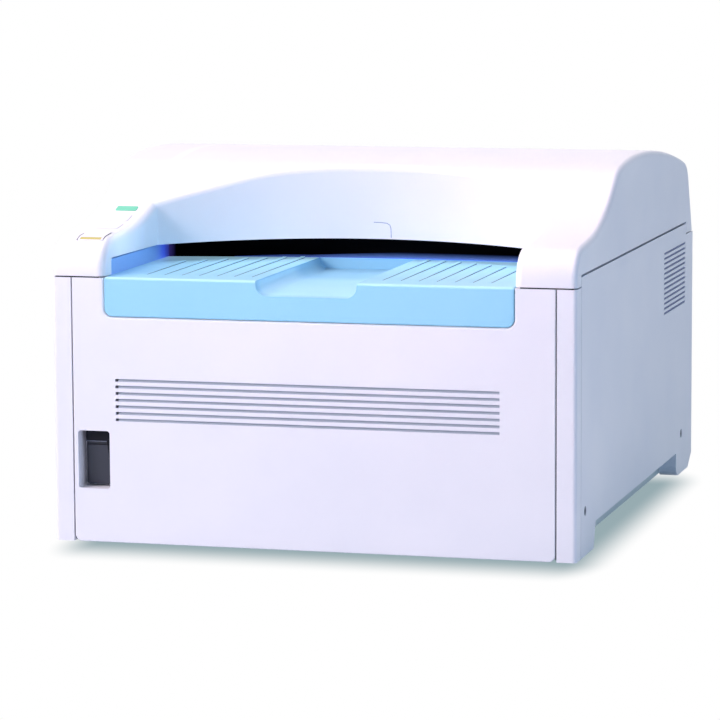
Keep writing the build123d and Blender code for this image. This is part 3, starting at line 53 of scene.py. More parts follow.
# Camera: a long lens in front of the reader, a little to its right and a little above,
# as the photograph has it. Its place comes from the corners of the covers.
camera_place = Vector((0.9883, -3.6894, 0.6646))
camera_yaw = math.radians(-15.49)
camera_pitch = math.radians(-7.61)
camera_roll = math.radians(-0.305)
camera_lens = 182.82

camera_data = bpy.data.cameras.new("studio_camera")
camera_data.lens = camera_lens
camera_data.sensor_width = 36.0
camera_data.clip_start = 0.05
camera_data.clip_end = 60.0
camera = bpy.data.objects.new("studio_camera", camera_data)
bpy.context.scene.collection.objects.link(camera)
view_ahead = Vector((
    math.sin(camera_yaw) * math.cos(camera_pitch),
    math.cos(camera_yaw) * math.cos(camera_pitch),
    math.sin(camera_pitch),
))
level_right = Vector((math.cos(camera_yaw), -math.sin(camera_yaw), 0.0))
level_up = level_right.cross(view_ahead)
view_right = level_right * math.cos(camera_roll) + level_up * math.sin(camera_roll)
view_up = level_up * math.cos(camera_roll) - level_right * math.sin(camera_roll)
camera.matrix_world = Matrix.Translation(camera_place) @ Matrix((
    (view_right.x, view_up.x, -view_ahead.x),
    (view_right.y, view_up.y, -view_ahead.y),
    (view_right.z, view_up.z, -view_ahead.z),
)).to_4x4()
bpy.context.scene.camera = camera
bpy.context.scene.view_settings.view_transform = "Standard"


# Studio lamps: a soft one at the upper left front, a weaker one overhead and a bluish one at the
# right. Two small ones with grids reach into the recess: a warm one from the left for its wall,
# and a blue one from the right for its left side.
def add_soft_lamp(name, place, size, power, colour, aim=(0.0, 0.0, 0.2), grid=180.0):
    """An area lamp; grid is the angle in degrees that its light is held to."""
    lamp_data = bpy.data.lights.new(name, "AREA")
    lamp_data.shape = "SQUARE"
    lamp_data.size = size
    lamp_data.energy = power
    lamp_data.spread = math.radians(grid)
    lamp_data.color = colour
    lamp = bpy.data.objects.new(name, lamp_data)
    lamp.location = place
    lamp.rotation_euler = (Vector(aim) - Vector(place)).to_track_quat("-Z", "Y").to_euler()
    bpy.context.scene.collection.objects.link(lamp)


add_soft_lamp("key_lamp", place=(-2.6, -2.7, 2.0), size=1.6, power=107.0, colour=(1.0, 0.88, 0.91))
add_soft_lamp("top_lamp", place=(-0.6, -0.3, 2.8), size=2.2, power=54.0, colour=(1.0, 0.86, 0.92))
add_soft_lamp("side_lamp", place=(3.4, -1.3, 0.9), size=1.6, power=20.5, colour=(0.29, 0.62, 1.0))
add_soft_lamp(
    "wall_lamp", place=(-1.9, -1.7, 1.1), size=0.35, power=0.145, colour=(1.0, 0.64, 0.76),
    aim=(0.265, -0.12, 0.3), grid=10.0,
)
add_soft_lamp(
    "cheek_lamp", place=(1.7, -1.2, 1.1), size=0.35, power=0.05, colour=(0.4, 0.68, 1.0),
    aim=(-0.215, -0.27, 0.285), grid=8.0,
)

# Studio surround: a weak blue fill for the reader, and plain white for the camera and for what
# gloss and clear parts show.
fill_colour = (0.56, 0.76, 1.0)
fill_strength = 0.24
white = (1.0, 1.0, 1.0, 1.0)


def join(tree, source, target):
    tree.links.new(source, target)


def math_node(tree, operation, first, second=None):
    """A Math node whose inputs are sockets or numbers; returns its output."""
    node = tree.nodes.new("ShaderNodeMath")
    node.operation = operation
    for index, value in enumerate((first, second)):
        if value is None:
            continue
        if isinstance(value, (int, float)):
            node.inputs[index].default_value = value
        else:
            join(tree, value, node.inputs[index])
    return node.outputs[0]


def seen_directly(tree):
    """Is Camera, Glossy or Transmission Ray, as one value of 0 or 1."""
    ray = tree.nodes.new("ShaderNodeLightPath").outputs
    either = math_node(tree, "MAXIMUM", ray["Is Camera Ray"], ray["Is Glossy Ray"])
    return math_node(tree, "MAXIMUM", either, ray["Is Transmission Ray"])


surround = bpy.data.worlds.new("surround")
bpy.context.scene.world = surround
surround.use_nodes = True
surround_tree = surround.node_tree
surround_tree.nodes.clear()
surround_out = surround_tree.nodes.new("ShaderNodeOutputWorld")
surround_mix = surround_tree.nodes.new("ShaderNodeMixShader")
surround_fill = surround_tree.nodes.new("ShaderNodeBackground")
surround_fill.inputs["Color"].default_value = (*fill_colour, 1.0)
surround_fill.inputs["Strength"].default_value = fill_strength
surround_white = surround_tree.nodes.new("ShaderNodeBackground")
surround_white.inputs["Color"].default_value = white
surround_white.inputs["Strength"].default_value = 1.0
join(surround_tree, seen_directly(surround_tree), surround_mix.inputs[0])
join(surround_tree, surround_fill.outputs[0], surround_mix.inputs[1])
join(surround_tree, surround_white.outputs[0], surround_mix.inputs[2])
join(surround_tree, surround_mix.outputs[0], surround_out.inputs["Surface"])

# Studio floor: a pale table that the camera sees as white, with a painted shadow where the reader
# meets it: a soft contact shadow drawn from the reader's footprint, which fades out beside it.
floor_colour = (0.80, 0.86, 0.95)
floor_half = 14.0
contact_reach = (0.05, 0.11)
contact_inset = (0.028, 0.03)
contact_shift = (-0.012, 0.045)
painted_shadow_colour = (0.31, 0.41, 0.44)


def object_axes(tree):
    """The x, y and z of a place on an object, in metres of the row frame at rest."""
    coordinates = tree.nodes.new("ShaderNodeTexCoord")
    axes = tree.nodes.new("ShaderNodeSeparateXYZ")
    join(tree, coordinates.outputs["Object"], axes.inputs[0])
    return axes.outputs


def mix_colours(tree, factor, first, second):
    """A Mix node for colours, given as sockets or as values; returns its output."""
    node = tree.nodes.new("ShaderNodeMix")
    node.data_type = "RGBA"
    join(tree, factor, node.inputs["Factor"])
    for label, value in (("A", first), ("B", second)):
        socket = [s for s in node.inputs if s.name == label and s.type == "RGBA"][0]
        if isinstance(value, tuple):
            socket.default_value = value
        else:
            join(tree, value, socket)
    return [s for s in node.outputs if s.type == "RGBA"][0]


floor_corners = ((-1, -1), (1, -1), (1, 1), (-1, 1))
floor_mesh = bpy.data.meshes.new("studio_floor")
floor_mesh.from_pydata([(x * floor_half, y * floor_half, 0.0) for x, y in floor_corners], [], [(0, 1, 2, 3)])
floor_object = bpy.data.objects.new("studio_floor", floor_mesh)
bpy.context.scene.collection.objects.link(floor_object)
floor_finish = bpy.data.materials.new("studio_floor")
floor_finish.use_nodes = True
floor_tree = floor_finish.node_tree
floor_tree.nodes.clear()
floor_out = floor_tree.nodes.new("ShaderNodeOutputMaterial")
floor_paint = floor_tree.nodes.new("ShaderNodeBsdfDiffuse")
floor_paint.inputs["Color"].default_value = (*floor_colour, 1.0)
floor_glow = floor_tree.nodes.new("ShaderNodeEmission")
floor_glow.inputs["Strength"].default_value = 1.0
floor_mix = floor_tree.nodes.new("ShaderNodeMixShader")
floor_axes = object_axes(floor_tree)
contact_spans = (
    ("X", contact_shift[0], cad_box[1][0] - contact_inset[0], contact_reach[0]),
    ("Y", contact_shift[1], cad_box[1][1] - contact_inset[1] - contact_shift[1], contact_reach[1]),
)
beside = []
for axis, shift, half, reach in contact_spans:
    moved = math_node(floor_tree, "ADD", floor_axes[axis], shift)
    outside = math_node(floor_tree, "SUBTRACT", math_node(floor_tree, "ABSOLUTE", moved), half)
    share = math_node(floor_tree, "DIVIDE", math_node(floor_tree, "MAXIMUM", outside, 0.0), reach)
    beside.append(math_node(floor_tree, "POWER", share, 2.0))
contact_fade = floor_tree.nodes.new("ShaderNodeMapRange")
contact_fade.interpolation_type = "SMOOTHSTEP"
contact_distance = math_node(floor_tree, "SQRT", math_node(floor_tree, "ADD", *beside))
join(floor_tree, contact_distance, contact_fade.inputs["Value"])
floor_seen = mix_colours(floor_tree, contact_fade.outputs["Result"], (*painted_shadow_colour, 1.0), white)
join(floor_tree, floor_seen, floor_glow.inputs["Color"])
join(floor_tree, seen_directly(floor_tree), floor_mix.inputs[0])
join(floor_tree, floor_paint.outputs[0], floor_mix.inputs[1])
join(floor_tree, floor_glow.outputs[0], floor_mix.inputs[2])
join(floor_tree, floor_mix.outputs[0], floor_out.inputs["Surface"])
floor_mesh.materials.append(floor_finish)


# White covers: front cover, corner posts and side panels are injection moulded in white resin,
# with the fine even texture of a spark-eroded mould and a soft satin sheen.
def srgb(red, green, blue):
    """A colour given in 0 to 255 screen values, as the linear values that shaders take."""
    def linear(value):
        value = value / 255.0
        return value / 12.92 if value <= 0.04045 else ((value + 0.055) / 1.055) ** 2.4

    return (linear(red), linear(green), linear(blue), 1.0)


cover_white = srgb(239, 238, 243)
cover_shade = srgb(228, 229, 237)
cover_texture = {"roughness": 0.42, "grain_scale": 900.0, "grain_height": 0.00004}


def new_group(name, inputs, outputs):
    """An empty shader node group; inputs are (name, socket type, default), outputs without it."""
    group = bpy.data.node_groups.new(name, "ShaderNodeTree")
    for label, kind, default in inputs:
        socket = group.interface.new_socket(name=label, in_out="INPUT", socket_type=kind)
        socket.default_value = default
    for label, kind in outputs:
        group.interface.new_socket(name=label, in_out="OUTPUT", socket_type=kind)
    start = group.nodes.new("NodeGroupInput")
    end = group.nodes.new("NodeGroupOutput")
    return group, start, end


# mould texture: fine rounded pits with a slow change from place to place
mould_texture, texture_in, texture_out = new_group(
    "mould texture",
    [("Scale", "NodeSocketFloat", 900.0), ("Patch Scale", "NodeSocketFloat", 14.0)],
    [("Height", "NodeSocketFloat"), ("Patches", "NodeSocketFloat")],
)
texture_place = mould_texture.nodes.new("ShaderNodeTexCoord")
fine_pits = mould_texture.nodes.new("ShaderNodeTexNoise")
fine_pits.inputs["Detail"].default_value = 2.0
fine_pits.inputs["Roughness"].default_value = 0.55
join(mould_texture, texture_place.outputs["Object"], fine_pits.inputs["Vector"])
join(mould_texture, texture_in.outputs["Scale"], fine_pits.inputs["Scale"])
slow_patches = mould_texture.nodes.new("ShaderNodeTexNoise")
slow_patches.inputs["Detail"].default_value = 3.0
slow_patches.inputs["Roughness"].default_value = 0.5
join(mould_texture, texture_place.outputs["Object"], slow_patches.inputs["Vector"])
join(mould_texture, texture_in.outputs["Patch Scale"], slow_patches.inputs["Scale"])
join(mould_texture, fine_pits.outputs["Fac"], texture_out.inputs["Height"])
join(mould_texture, slow_patches.outputs["Fac"], texture_out.inputs["Patches"])


def shader_of(finish):
    return finish.node_tree.nodes["Principled BSDF"]


def new_finish(name, roughness):
    """A material with one Principled shader; returns the material, its tree and the shader."""
    finish = bpy.data.materials.new(name)
    finish.use_nodes = True
    shader = shader_of(finish)
    shader.inputs["Roughness"].default_value = roughness
    return finish, finish.node_tree, shader


def place_group(tree, group, **values):
    """One copy of a node group in a material, with its own values."""
    node = tree.nodes.new("ShaderNodeGroup")
    node.node_tree = group
    for label, value in values.items():
        node.inputs[label.replace("_", " ").title()].default_value = value
    return node


def span(tree, value, low, high, out_low, out_high):
    """Map Range with clamped ends."""
    node = tree.nodes.new("ShaderNodeMapRange")
    node.inputs["From Min"].default_value = low
    node.inputs["From Max"].default_value = high
    node.inputs["To Min"].default_value = out_low
    node.inputs["To Max"].default_value = out_high
    join(tree, value, node.inputs["Value"])
    return node.outputs["Result"]


def bump(tree, height, distance, shader):
    """Fine relief; distance is its height in metres."""
    node = tree.nodes.new("ShaderNodeBump")
    node.inputs["Strength"].default_value = 1.0
    node.inputs["Distance"].default_value = distance
    join(tree, height, node.inputs["Height"])
    join(tree, node.outputs["Normal"], shader.inputs["Normal"])


def moulded_plastic(name, colour, shade, roughness, grain_scale, grain_height):
    """Textured moulded resin: slow changes of tone and gloss under a fine even grain."""
    finish, tree, shader = new_finish(name, roughness)
    texture = place_group(tree, mould_texture, scale=grain_scale, patch_scale=12.0)
    patches = texture.outputs["Patches"]
    tone = mix_colours(tree, span(tree, patches, 0.35, 0.7, 0.0, 0.35), colour, shade)
    join(tree, tone, shader.inputs["Base Color"])
    gloss = span(tree, patches, 0.3, 0.7, roughness - 0.03, roughness + 0.04)
    join(tree, gloss, shader.inputs["Roughness"])
    bump(tree, texture.outputs["Height"], grain_height, shader)
    return finish


def dress(finish, *names):
    """Gives a material to CAD nodes, in every slot they have."""
    for name in names:
        mesh = nodes[name].data
        mesh.materials.clear()
        mesh.materials.append(finish)


white_resin = moulded_plastic("white resin", cover_white, cover_shade, **cover_texture)
dress(
    white_resin,
    "front_cover", "left_corner_post", "right_corner_post", "left_side_panel", "right_side_panel",
)

# Hood: one large moulding in the same white resin, hung on two hinges at the back. Its left cheek
# beside the tray has painted light: a blue glow for the tray's light, most a little behind its front.
cheek_skin = (-0.2140, -0.2110)
cheek_inside = (-0.2035, -0.2025)
cheek_front = (-0.303, -0.262)
cheek_rear = (-0.262, -0.19)
cheek_foot = (0.268, 0.270)
cheek_painted_light = (0.25, 0.31, 0.40, 1.0)
no_light = (0.0, 0.0, 0.0, 1.0)


def rising(tree, value, ends):
    """A mask that goes from 0 to 1 between two places."""
    return span(tree, value, *ends, 0.0, 1.0)


def falling(tree, value, ends):
    """A mask that goes from 1 to 0 between two places."""
    return span(tree, value, *ends, 1.0, 0.0)


def both(tree, first, second):
    """Where two masks overlap."""
    return math_node(tree, "MULTIPLY", first, second)


def add_glow(finish, colour, strength):
    """A weak glow of a surface's own: painted light that it takes from its neighbours, or a lamp's glow."""
    shader = shader_of(finish)
    join(finish.node_tree, colour, shader.inputs["Emission Color"])
    shader.inputs["Emission Strength"].default_value = strength


hood_resin = moulded_plastic("hood resin", cover_white, cover_shade, **cover_texture)
hood_tree = hood_resin.node_tree
hood_x, hood_y, hood_z = object_axes(hood_tree)
inner_cheek = both(
    hood_tree, rising(hood_tree, hood_x, cheek_skin), falling(hood_tree, hood_x, cheek_inside)
)
cheek_depth = both(
    hood_tree,
    span(hood_tree, hood_y, *cheek_front, 0.15, 1.0), span(hood_tree, hood_y, *cheek_rear, 1.0, 0.12),
)
cheek_reach = both(hood_tree, cheek_depth, rising(hood_tree, hood_z, cheek_foot))
# painted light: a blue glow on the inner face of the left cheek
hood_painted_light = mix_colours(hood_tree, both(hood_tree, inner_cheek, cheek_reach), no_light, cheek_painted_light)
add_glow(hood_resin, hood_painted_light, 1.0)
dress(hood_resin, "top_hood")

# Cassette tray: light blue resin with a smoother, slightly glossier face than the covers. Its
# fences carry painted shade, a deeper blue that darkens towards the back, under a blue painted glow.
# The finger channel and the rear of the top glow with painted light, the rear right edge has painted
# shade and a blue painted glow, and the front edge a painted highlight.
tray_blue = srgb(157, 216, 242)
tray_blue_shade = srgb(146, 208, 240)
tray_top = 0.270
front_y = cad_box[0][1]
left_fence_face = (-0.2106, -0.2103)
right_fence_face = (0.2033, 0.2036)
floor_level = (tray_top - 0.0003, tray_top - 0.0001)
fence_fade = (-0.135, -0.100)
fence_deep = (-0.150, -0.124)
fence_end = (-0.121, -0.102)
rear_level = (tray_top - 0.0012, tray_top - 0.0008)
rear_fade = (-0.092, -0.076)
rear_side = (-0.06, 0.03)
top_fade = (-0.26, -0.11)
channel_level = (tray_top - 0.0016, tray_top - 0.0006)
channel_front = (front_y + 0.003, front_y + 0.016)
channel_rear = (-0.178, -0.150)
lip_level = (tray_top - 0.0022, tray_top - 0.0012)
lip_fade = (front_y + 0.0040, front_y + 0.0052)

tray_resin = moulded_plastic(
    "tray resin", tray_blue, tray_blue_shade, roughness=0.36, grain_scale=1100.0, grain_height=0.00002
)
tray_tree = tray_resin.node_tree
tray_tone = shader_of(tray_resin).inputs["Base Color"]
tray_x, tray_y, tray_z = object_axes(tray_tree)
either_fence = math_node(
    tray_tree, "MAXIMUM",
    falling(tray_tree, tray_x, left_fence_face), rising(tray_tree, tray_x, right_fence_face),
)
above_floor = rising(tray_tree, tray_z, floor_level)
on_fence = both(tray_tree, either_fence, above_floor)
rear_right = both(tray_tree, rising(tray_tree, tray_y, rear_fade), rising(tray_tree, tray_x, rear_side))
near_rear = both(tray_tree, rear_right, rising(tray_tree, tray_z, rear_level))
# painted shade: the fences darken to a deep blue towards the back
fence_painted_shade = mix_colours(
    tray_tree, rising(tray_tree, tray_y, fence_fade), srgb(144, 180, 224), srgb(44, 44, 130)
)
# painted shade: a deeper blue at the rear right of the top
top_painted_shade = mix_colours(tray_tree, near_rear, tray_tone.links[0].from_socket, srgb(134, 184, 236))
join(tray_tree, mix_colours(tray_tree, on_fence, top_painted_shade, fence_painted_shade), tray_tone)

# painted light, as a glow: channel, rear of the top, rear right edge, front edge highlight, fences
in_channel = both(
    tray_tree, falling(tray_tree, tray_z, channel_level), rising(tray_tree, tray_y, channel_front)
)
channel_painted_light_tone = mix_colours(
    tray_tree, rising(tray_tree, tray_y, channel_rear), srgb(102, 106, 112), srgb(44, 50, 70)
)
channel_painted_light = mix_colours(tray_tree, in_channel, no_light, channel_painted_light_tone)
on_top = both(tray_tree, rising(tray_tree, tray_y, top_fade), above_floor)
top_painted_light = mix_colours(tray_tree, on_top, channel_painted_light, srgb(120, 150, 160))
rear_painted_light = mix_colours(tray_tree, near_rear, top_painted_light, srgb(36, 132, 230))
on_lip = both(tray_tree, rising(tray_tree, tray_z, lip_level), falling(tray_tree, tray_y, lip_fade))
lip_painted_highlight = mix_colours(tray_tree, on_lip, rear_painted_light, srgb(104, 98, 70))
fence_painted_light_middle = mix_colours(
    tray_tree, rising(tray_tree, tray_y, fence_deep), srgb(48, 76, 134), srgb(34, 50, 190)
)
fence_painted_light = mix_colours(
    tray_tree, rising(tray_tree, tray_y, fence_end), fence_painted_light_middle, srgb(40, 36, 110)
)
add_glow(tray_resin, mix_colours(tray_tree, on_fence, lip_painted_highlight, fence_painted_light), 0.9)
dress(tray_resin, "cassette_tray")

# Keys and lamps on the left shoulder: flat white caps that slide in the hood, a green ready lamp
# and an amber lens let into the start key, both of tinted clear resin lit from below.
key_resin = moulded_plastic(
    "key resin", srgb(240, 240, 248), srgb(228, 230, 242),
    roughness=0.34, grain_scale=1400.0, grain_height=0.00001,
)
dress(key_resin, "start_key", "lower_key", "upper_key")


def lamp_lens(name, colour, glow):
    """Tinted lens with a faint even glow behind it."""
    finish, tree, shader = new_finish(name, 0.22)
    texture = place_group(tree, mould_texture, scale=500.0, patch_scale=60.0)
    tone = mix_colours(tree, span(tree, texture.outputs["Patches"], 0.3, 0.7, 0.0, 0.2), colour, glow)
    join(tree, tone, shader.inputs["Base Color"])
    add_glow(finish, tone, 0.18)
    shader.inputs["Coat Weight"].default_value = 0.3
    bump(tree, texture.outputs["Height"], 0.00001, shader)
    return finish


dress(lamp_lens("green lens", srgb(92, 196, 160), srgb(140, 216, 190)), "ready_lamp")
dress(lamp_lens("amber lens", srgb(186, 170, 88), srgb(200, 186, 112)), "start_lens")

# Dust filter behind the front louvres: a pale mat of bonded fibres, cut to the louvres' size
# and held inside the front cover.
mat_finish, mat_tree, mat_shader = new_finish("filter mat", 0.9)
mat_texture = place_group(mat_tree, mould_texture, scale=700.0, patch_scale=90.0)
mat_tone = mix_colours(mat_tree, mat_texture.outputs["Height"], srgb(176, 190, 220), srgb(214, 224, 240))
join(mat_tree, mat_tone, mat_shader.inputs["Base Color"])
bump(mat_tree, mat_texture.outputs["Height"], 0.0003, mat_shader)
dress(mat_finish, "front_filter")

# Slot: the throat behind the tray and the dust flap across it, both moulded in black resin with
# a flocked face that swallows light. The throat's left side carries painted light, a blue glow for
# the light the left fence throws on it, fading out towards the back.
throat_side = (-0.2085, -0.2078)
throat_painted_reach = (-0.1025, -0.0795)


def flocked(name):
    """Black flock: no gloss and a soft nap."""
    finish = moulded_plastic(
        name, srgb(5, 4, 6), srgb(9, 8, 11), roughness=0.95, grain_scale=600.0, grain_height=0.00006
    )
    shader_of(finish).inputs["Specular IOR Level"].default_value = 0.05
    return finish


dress(flocked("flocked black"), "slot_flap")
# painted light: a blue glow on the throat's left side
throat_painted_light = flocked("throat painted light")
throat_tree = throat_painted_light.node_tree
throat_axes = object_axes(throat_tree)
beside_fence = both(
    throat_tree,
    falling(throat_tree, throat_axes["X"], throat_side), falling(throat_tree, throat_axes["Y"], throat_painted_reach),
)
add_glow(throat_painted_light, mix_colours(throat_tree, beside_fence, no_light, srgb(42, 36, 100)), 1.0)
dress(throat_painted_light, "slot_throat")

# Black resin parts inside: the detector tube's housing, the mirror motor and the chips and
# sockets on the main board.
black_resin = moulded_plastic(
    "black resin", srgb(14, 13, 18), srgb(20, 19, 26),
    roughness=0.5, grain_scale=900.0, grain_height=0.00003,
)
dress(black_resin, "detector_tube", "mirror_motor", "board_parts")

# Power switch, mains inlet, data socket and fan: bought parts in smooth charcoal resin, snapped
# or screwed into the covers.
switch_resin = moulded_plastic(
    "switch resin", srgb(44, 48, 64), srgb(52, 56, 72),
    roughness=0.36, grain_scale=1000.0, grain_height=0.00002,
)
dress(switch_resin, "switch_body", "switch_rocker", "mains_inlet", "data_socket", "fan_frame", "fan_rotor")

# Rubber and rollers: black rubber feet, hood bumpers and belt, grey roller tyres and scan roller,
# and pale hard resin for the pinch rollers and pulleys.
rubber = moulded_plastic(
    "black rubber", srgb(34, 34, 38), srgb(46, 46, 50),
    roughness=0.75, grain_scale=700.0, grain_height=0.00005,
)
dress(rubber, "rubber_feet", "hood_bumpers", "drive_belt")
grey_rubber = moulded_plastic(
    "roller rubber", srgb(96, 100, 106), srgb(110, 114, 120),
    roughness=0.7, grain_scale=800.0, grain_height=0.00004,
)
dress(grey_rubber, "feed_tyres", "scan_roller")
roller_resin = moulded_plastic(
    "roller resin", srgb(200, 202, 206), srgb(186, 188, 194),
    roughness=0.4, grain_scale=900.0, grain_height=0.00002,
)
dress(roller_resin, "feed_pinch_roller", "scan_pinch_roller", "feed_pulley", "scan_pulley")


# Bare metal inside and behind: frames folded from zinc-plated sheet, bright turned shafts and
# hinges, cast optics and motor housings, sintered bronze bushes and silvered mirrors.
def brushed_metal(name, colour, shade, roughness, grain_scale):
    """Bare metal with slow changes of tone and gloss and a fine surface grain."""
    finish, tree, shader = new_finish(name, roughness)
    shader.inputs["Metallic"].default_value = 1.0
    texture = place_group(tree, mould_texture, scale=grain_scale, patch_scale=30.0)
    tone = mix_colours(tree, texture.outputs["Patches"], colour, shade)
    join(tree, tone, shader.inputs["Base Color"])
    gloss = span(tree, texture.outputs["Patches"], 0.3, 0.7, roughness - 0.06, roughness + 0.08)
    join(tree, gloss, shader.inputs["Roughness"])
    bump(tree, texture.outputs["Height"], 0.00002, shader)
    return finish


zinc_plate = brushed_metal(
    "zinc plate", srgb(196, 200, 206), srgb(170, 176, 186), roughness=0.42, grain_scale=500.0
)
dress(zinc_plate, "left_frame", "right_frame", "optics_deck", "power_supply")
bright_steel = brushed_metal(
    "bright steel", srgb(214, 214, 218), srgb(190, 192, 198), roughness=0.25, grain_scale=700.0
)
dress(
    bright_steel,
    "feed_shaft", "scan_shaft", "motor_pulley", "fan_grille",
    "hinge_cover_leaves", "hinge_hood_leaves", "hinge_pins",
)
cast_alloy = brushed_metal(
    "cast alloy", srgb(170, 172, 178), srgb(148, 150, 158), roughness=0.5, grain_scale=400.0
)
dress(cast_alloy, "drive_motor", "erase_lamp", "optics_box", "optics_lid", "laser_unit")
bush_bronze = brushed_metal(
    "sintered bronze", srgb(176, 140, 92), srgb(150, 116, 74), roughness=0.5, grain_scale=600.0
)
dress(bush_bronze, "shaft_bushes")
silvered = brushed_metal(
    "silvered glass", srgb(232, 236, 240), srgb(222, 228, 236), roughness=0.06, grain_scale=80.0
)
dress(silvered, "polygon_mirror", "fold_mirror")

# Coated steel: the pale base pan, the satin plate guides and the rear cover are folded from sheet
# and painted, and the cover screws are blackened.
pan_steel = moulded_plastic(
    "pan steel", srgb(216, 222, 218), srgb(206, 212, 210),
    roughness=0.6, grain_scale=500.0, grain_height=0.00003,
)
dress(pan_steel, "base_pan")
guide_steel = moulded_plastic(
    "guide steel", srgb(186, 190, 196), srgb(176, 181, 188),
    roughness=0.5, grain_scale=700.0, grain_height=0.00001,
)
dress(guide_steel, "plate_guides")
powder_coat = moulded_plastic(
    "white powder coat", srgb(232, 233, 240), srgb(220, 222, 232),
    roughness=0.5, grain_scale=500.0, grain_height=0.00006,
)
dress(powder_coat, "rear_cover")
black_screw = moulded_plastic(
    "blackened screw", srgb(58, 68, 92), srgb(48, 58, 82),
    roughness=0.6, grain_scale=500.0, grain_height=0.00002,
)
dress(black_screw, "cover_screws")

# Clear optics: the scan lens that draws the laser's line and the light guide that gathers the
# plate's glow, both cast in clear acrylic with polished faces.
clear_optics, clear_tree, clear_shader = new_finish("clear acrylic", 0.06)
clear_shader.inputs["Transmission Weight"].default_value = 1.0
clear_shader.inputs["IOR"].default_value = 1.49
clear_texture = place_group(clear_tree, mould_texture, scale=300.0, patch_scale=20.0)
clear_patches = clear_texture.outputs["Patches"]
clear_tone = mix_colours(clear_tree, clear_patches, srgb(225, 242, 244), srgb(240, 250, 250))
join(clear_tree, clear_tone, clear_shader.inputs["Base Color"])
dress(clear_optics, "scan_lens", "light_guide")

# Circuit boards: the main board and the small one under the keys, glass-fibre laminate with a
# green solder resist.
board_resin = moulded_plastic(
    "board green", srgb(30, 104, 62), srgb(24, 90, 54),
    roughness=0.4, grain_scale=600.0, grain_height=0.00002,
)
dress(board_resin, "main_board", "key_board")

# Seam strips: black foam pressed into the upright seams beside the front cover, into the seam
# under the hood at both ends and beside the tray, so that no light comes through them.
seam_width = 1.2
seam_slack = 0.02
shoulder_reach = 17.0
tray_gap = 0.6


def place(x, depth, z):
    """A point of the row frame, from millimetres; its depth goes back from the front face."""
    return Vector((x / 1000.0, front_y + depth / 1000.0, z / 1000.0))


def box_mm(node):
    """The lowest and highest x, depth and z of a CAD node, in millimetres."""
    low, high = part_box(node)
    return [
        (low[0] * 1000, high[0] * 1000),
        ((low[1] - front_y) * 1000, (high[1] - front_y) * 1000),
        (low[2] * 1000, high[2] * 1000),
    ]


def add_block(mesh, x_span, depth_span, z_span, ease=0.0):
    """A box, added to a bmesh; ease is the width of its bevelled edges."""
    start = len(mesh.verts)
    corners = [place(x, depth, z) for z in z_span for depth in depth_span for x in x_span]
    points = [mesh.verts.new(corner) for corner in corners]
    for face in ((0, 2, 3, 1), (4, 5, 7, 6), (0, 1, 5, 4), (2, 6, 7, 3), (0, 4, 6, 2), (1, 3, 7, 5)):
        mesh.faces.new([points[index] for index in face])
    if ease:
        mesh.verts.ensure_lookup_table()
        new_points = set(mesh.verts[start:])
        edges = [edge for edge in mesh.edges if edge.verts[0] in new_points]
        bmesh.ops.bevel(mesh, geom=edges, offset=ease / 1000.0, segments=2, affect="EDGES")


def add_piece(name, mesh, finish, body):
    """Closes a bmesh into a piece of the object that rides a body."""
    bmesh.ops.recalc_face_normals(mesh, faces=mesh.faces)
    data = bpy.data.meshes.new(name)
    mesh.to_mesh(data)
    mesh.free()
    data.materials.append(finish)
    piece = bpy.data.objects.new(name, data)
    bpy.context.scene.collection.objects.link(piece)
    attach(piece, body)


seam_foam = moulded_plastic(
    "seam foam", srgb(12, 13, 20), srgb(20, 22, 32), roughness=0.85, grain_scale=500.0, grain_height=0.0001
)
hood_edge = min(v.co.z for v in nodes["top_hood"].data.vertices if v.co.y - front_y < 0.004) * 1000
tray_left, tray_right = box_mm("cassette_tray")[0]
tray_underside = box_mm("cassette_tray")[2][0]
cover_left, cover_right = box_mm("front_cover")[0]
cover_foot, cover_head = box_mm("front_cover")[2]
upright_heights = (cover_foot + 2, cover_head - 0.6)
right_seam = (cover_right + seam_slack, cover_right + seam_width - seam_slack)
left_seam = (cover_left - seam_width + seam_slack, cover_left - seam_slack)
hood_seam = (cover_head + seam_slack, hood_edge - 0.04)
seam_mesh = bmesh.new()
add_block(seam_mesh, right_seam, (0.9, 5.0), upright_heights)
add_block(seam_mesh, left_seam, (5.2, 8.0), upright_heights)
add_block(seam_mesh, (cover_left - shoulder_reach, tray_left - 3.0), (0.35, 4.0), hood_seam)
add_block(seam_mesh, (tray_right + 3.0, cover_right + shoulder_reach), (0.35, 4.0), hood_seam)
add_block(
    seam_mesh, (tray_left - tray_gap, tray_left - 0.04), (0.9, 6.0), (tray_underside + 9.0, cover_head - 1.0)
)
add_piece("seam_strips", seam_mesh, seam_foam, "base")

# Front louvre blades: thin slats of pale grey resin, one clipped in behind each slot of the front
# cover. They slope up and back, so that nothing shows through the slots from above.
louvre_count = 7
louvre_pitch = 6.58
louvre_top = 167.7
louvre_left = cad_box[0][0] * 1000 + 64.7
louvre_right = cad_box[1][0] * 1000 - 75.5
blade_ends = (louvre_left + 2.6, louvre_right - 0.1)
# depth, and height over the slot's middle
blade_side = ((0.7, -1.42), (1.1, -1.42), (3.05, 0.55), (3.05, 1.0))


def add_tube(mesh, rings):
    """A closed skin through rings of points, with a cap at both ends."""
    rings = [[mesh.verts.new(point) for point in ring] for ring in rings]
    for first, second in zip(rings, rings[1:]):
        for index in range(len(first)):
            after = (index + 1) % len(first)
            mesh.faces.new((first[index], first[after], second[after], second[index]))
    mesh.faces.new(rings[0])
    mesh.faces.new(list(reversed(rings[-1])))


def add_prism(mesh, outline, x_span):
    """A bar along X whose side outline is given as (depth, z) points."""
    add_tube(mesh, [[place(x, depth, z) for depth, z in outline] for x in x_span])


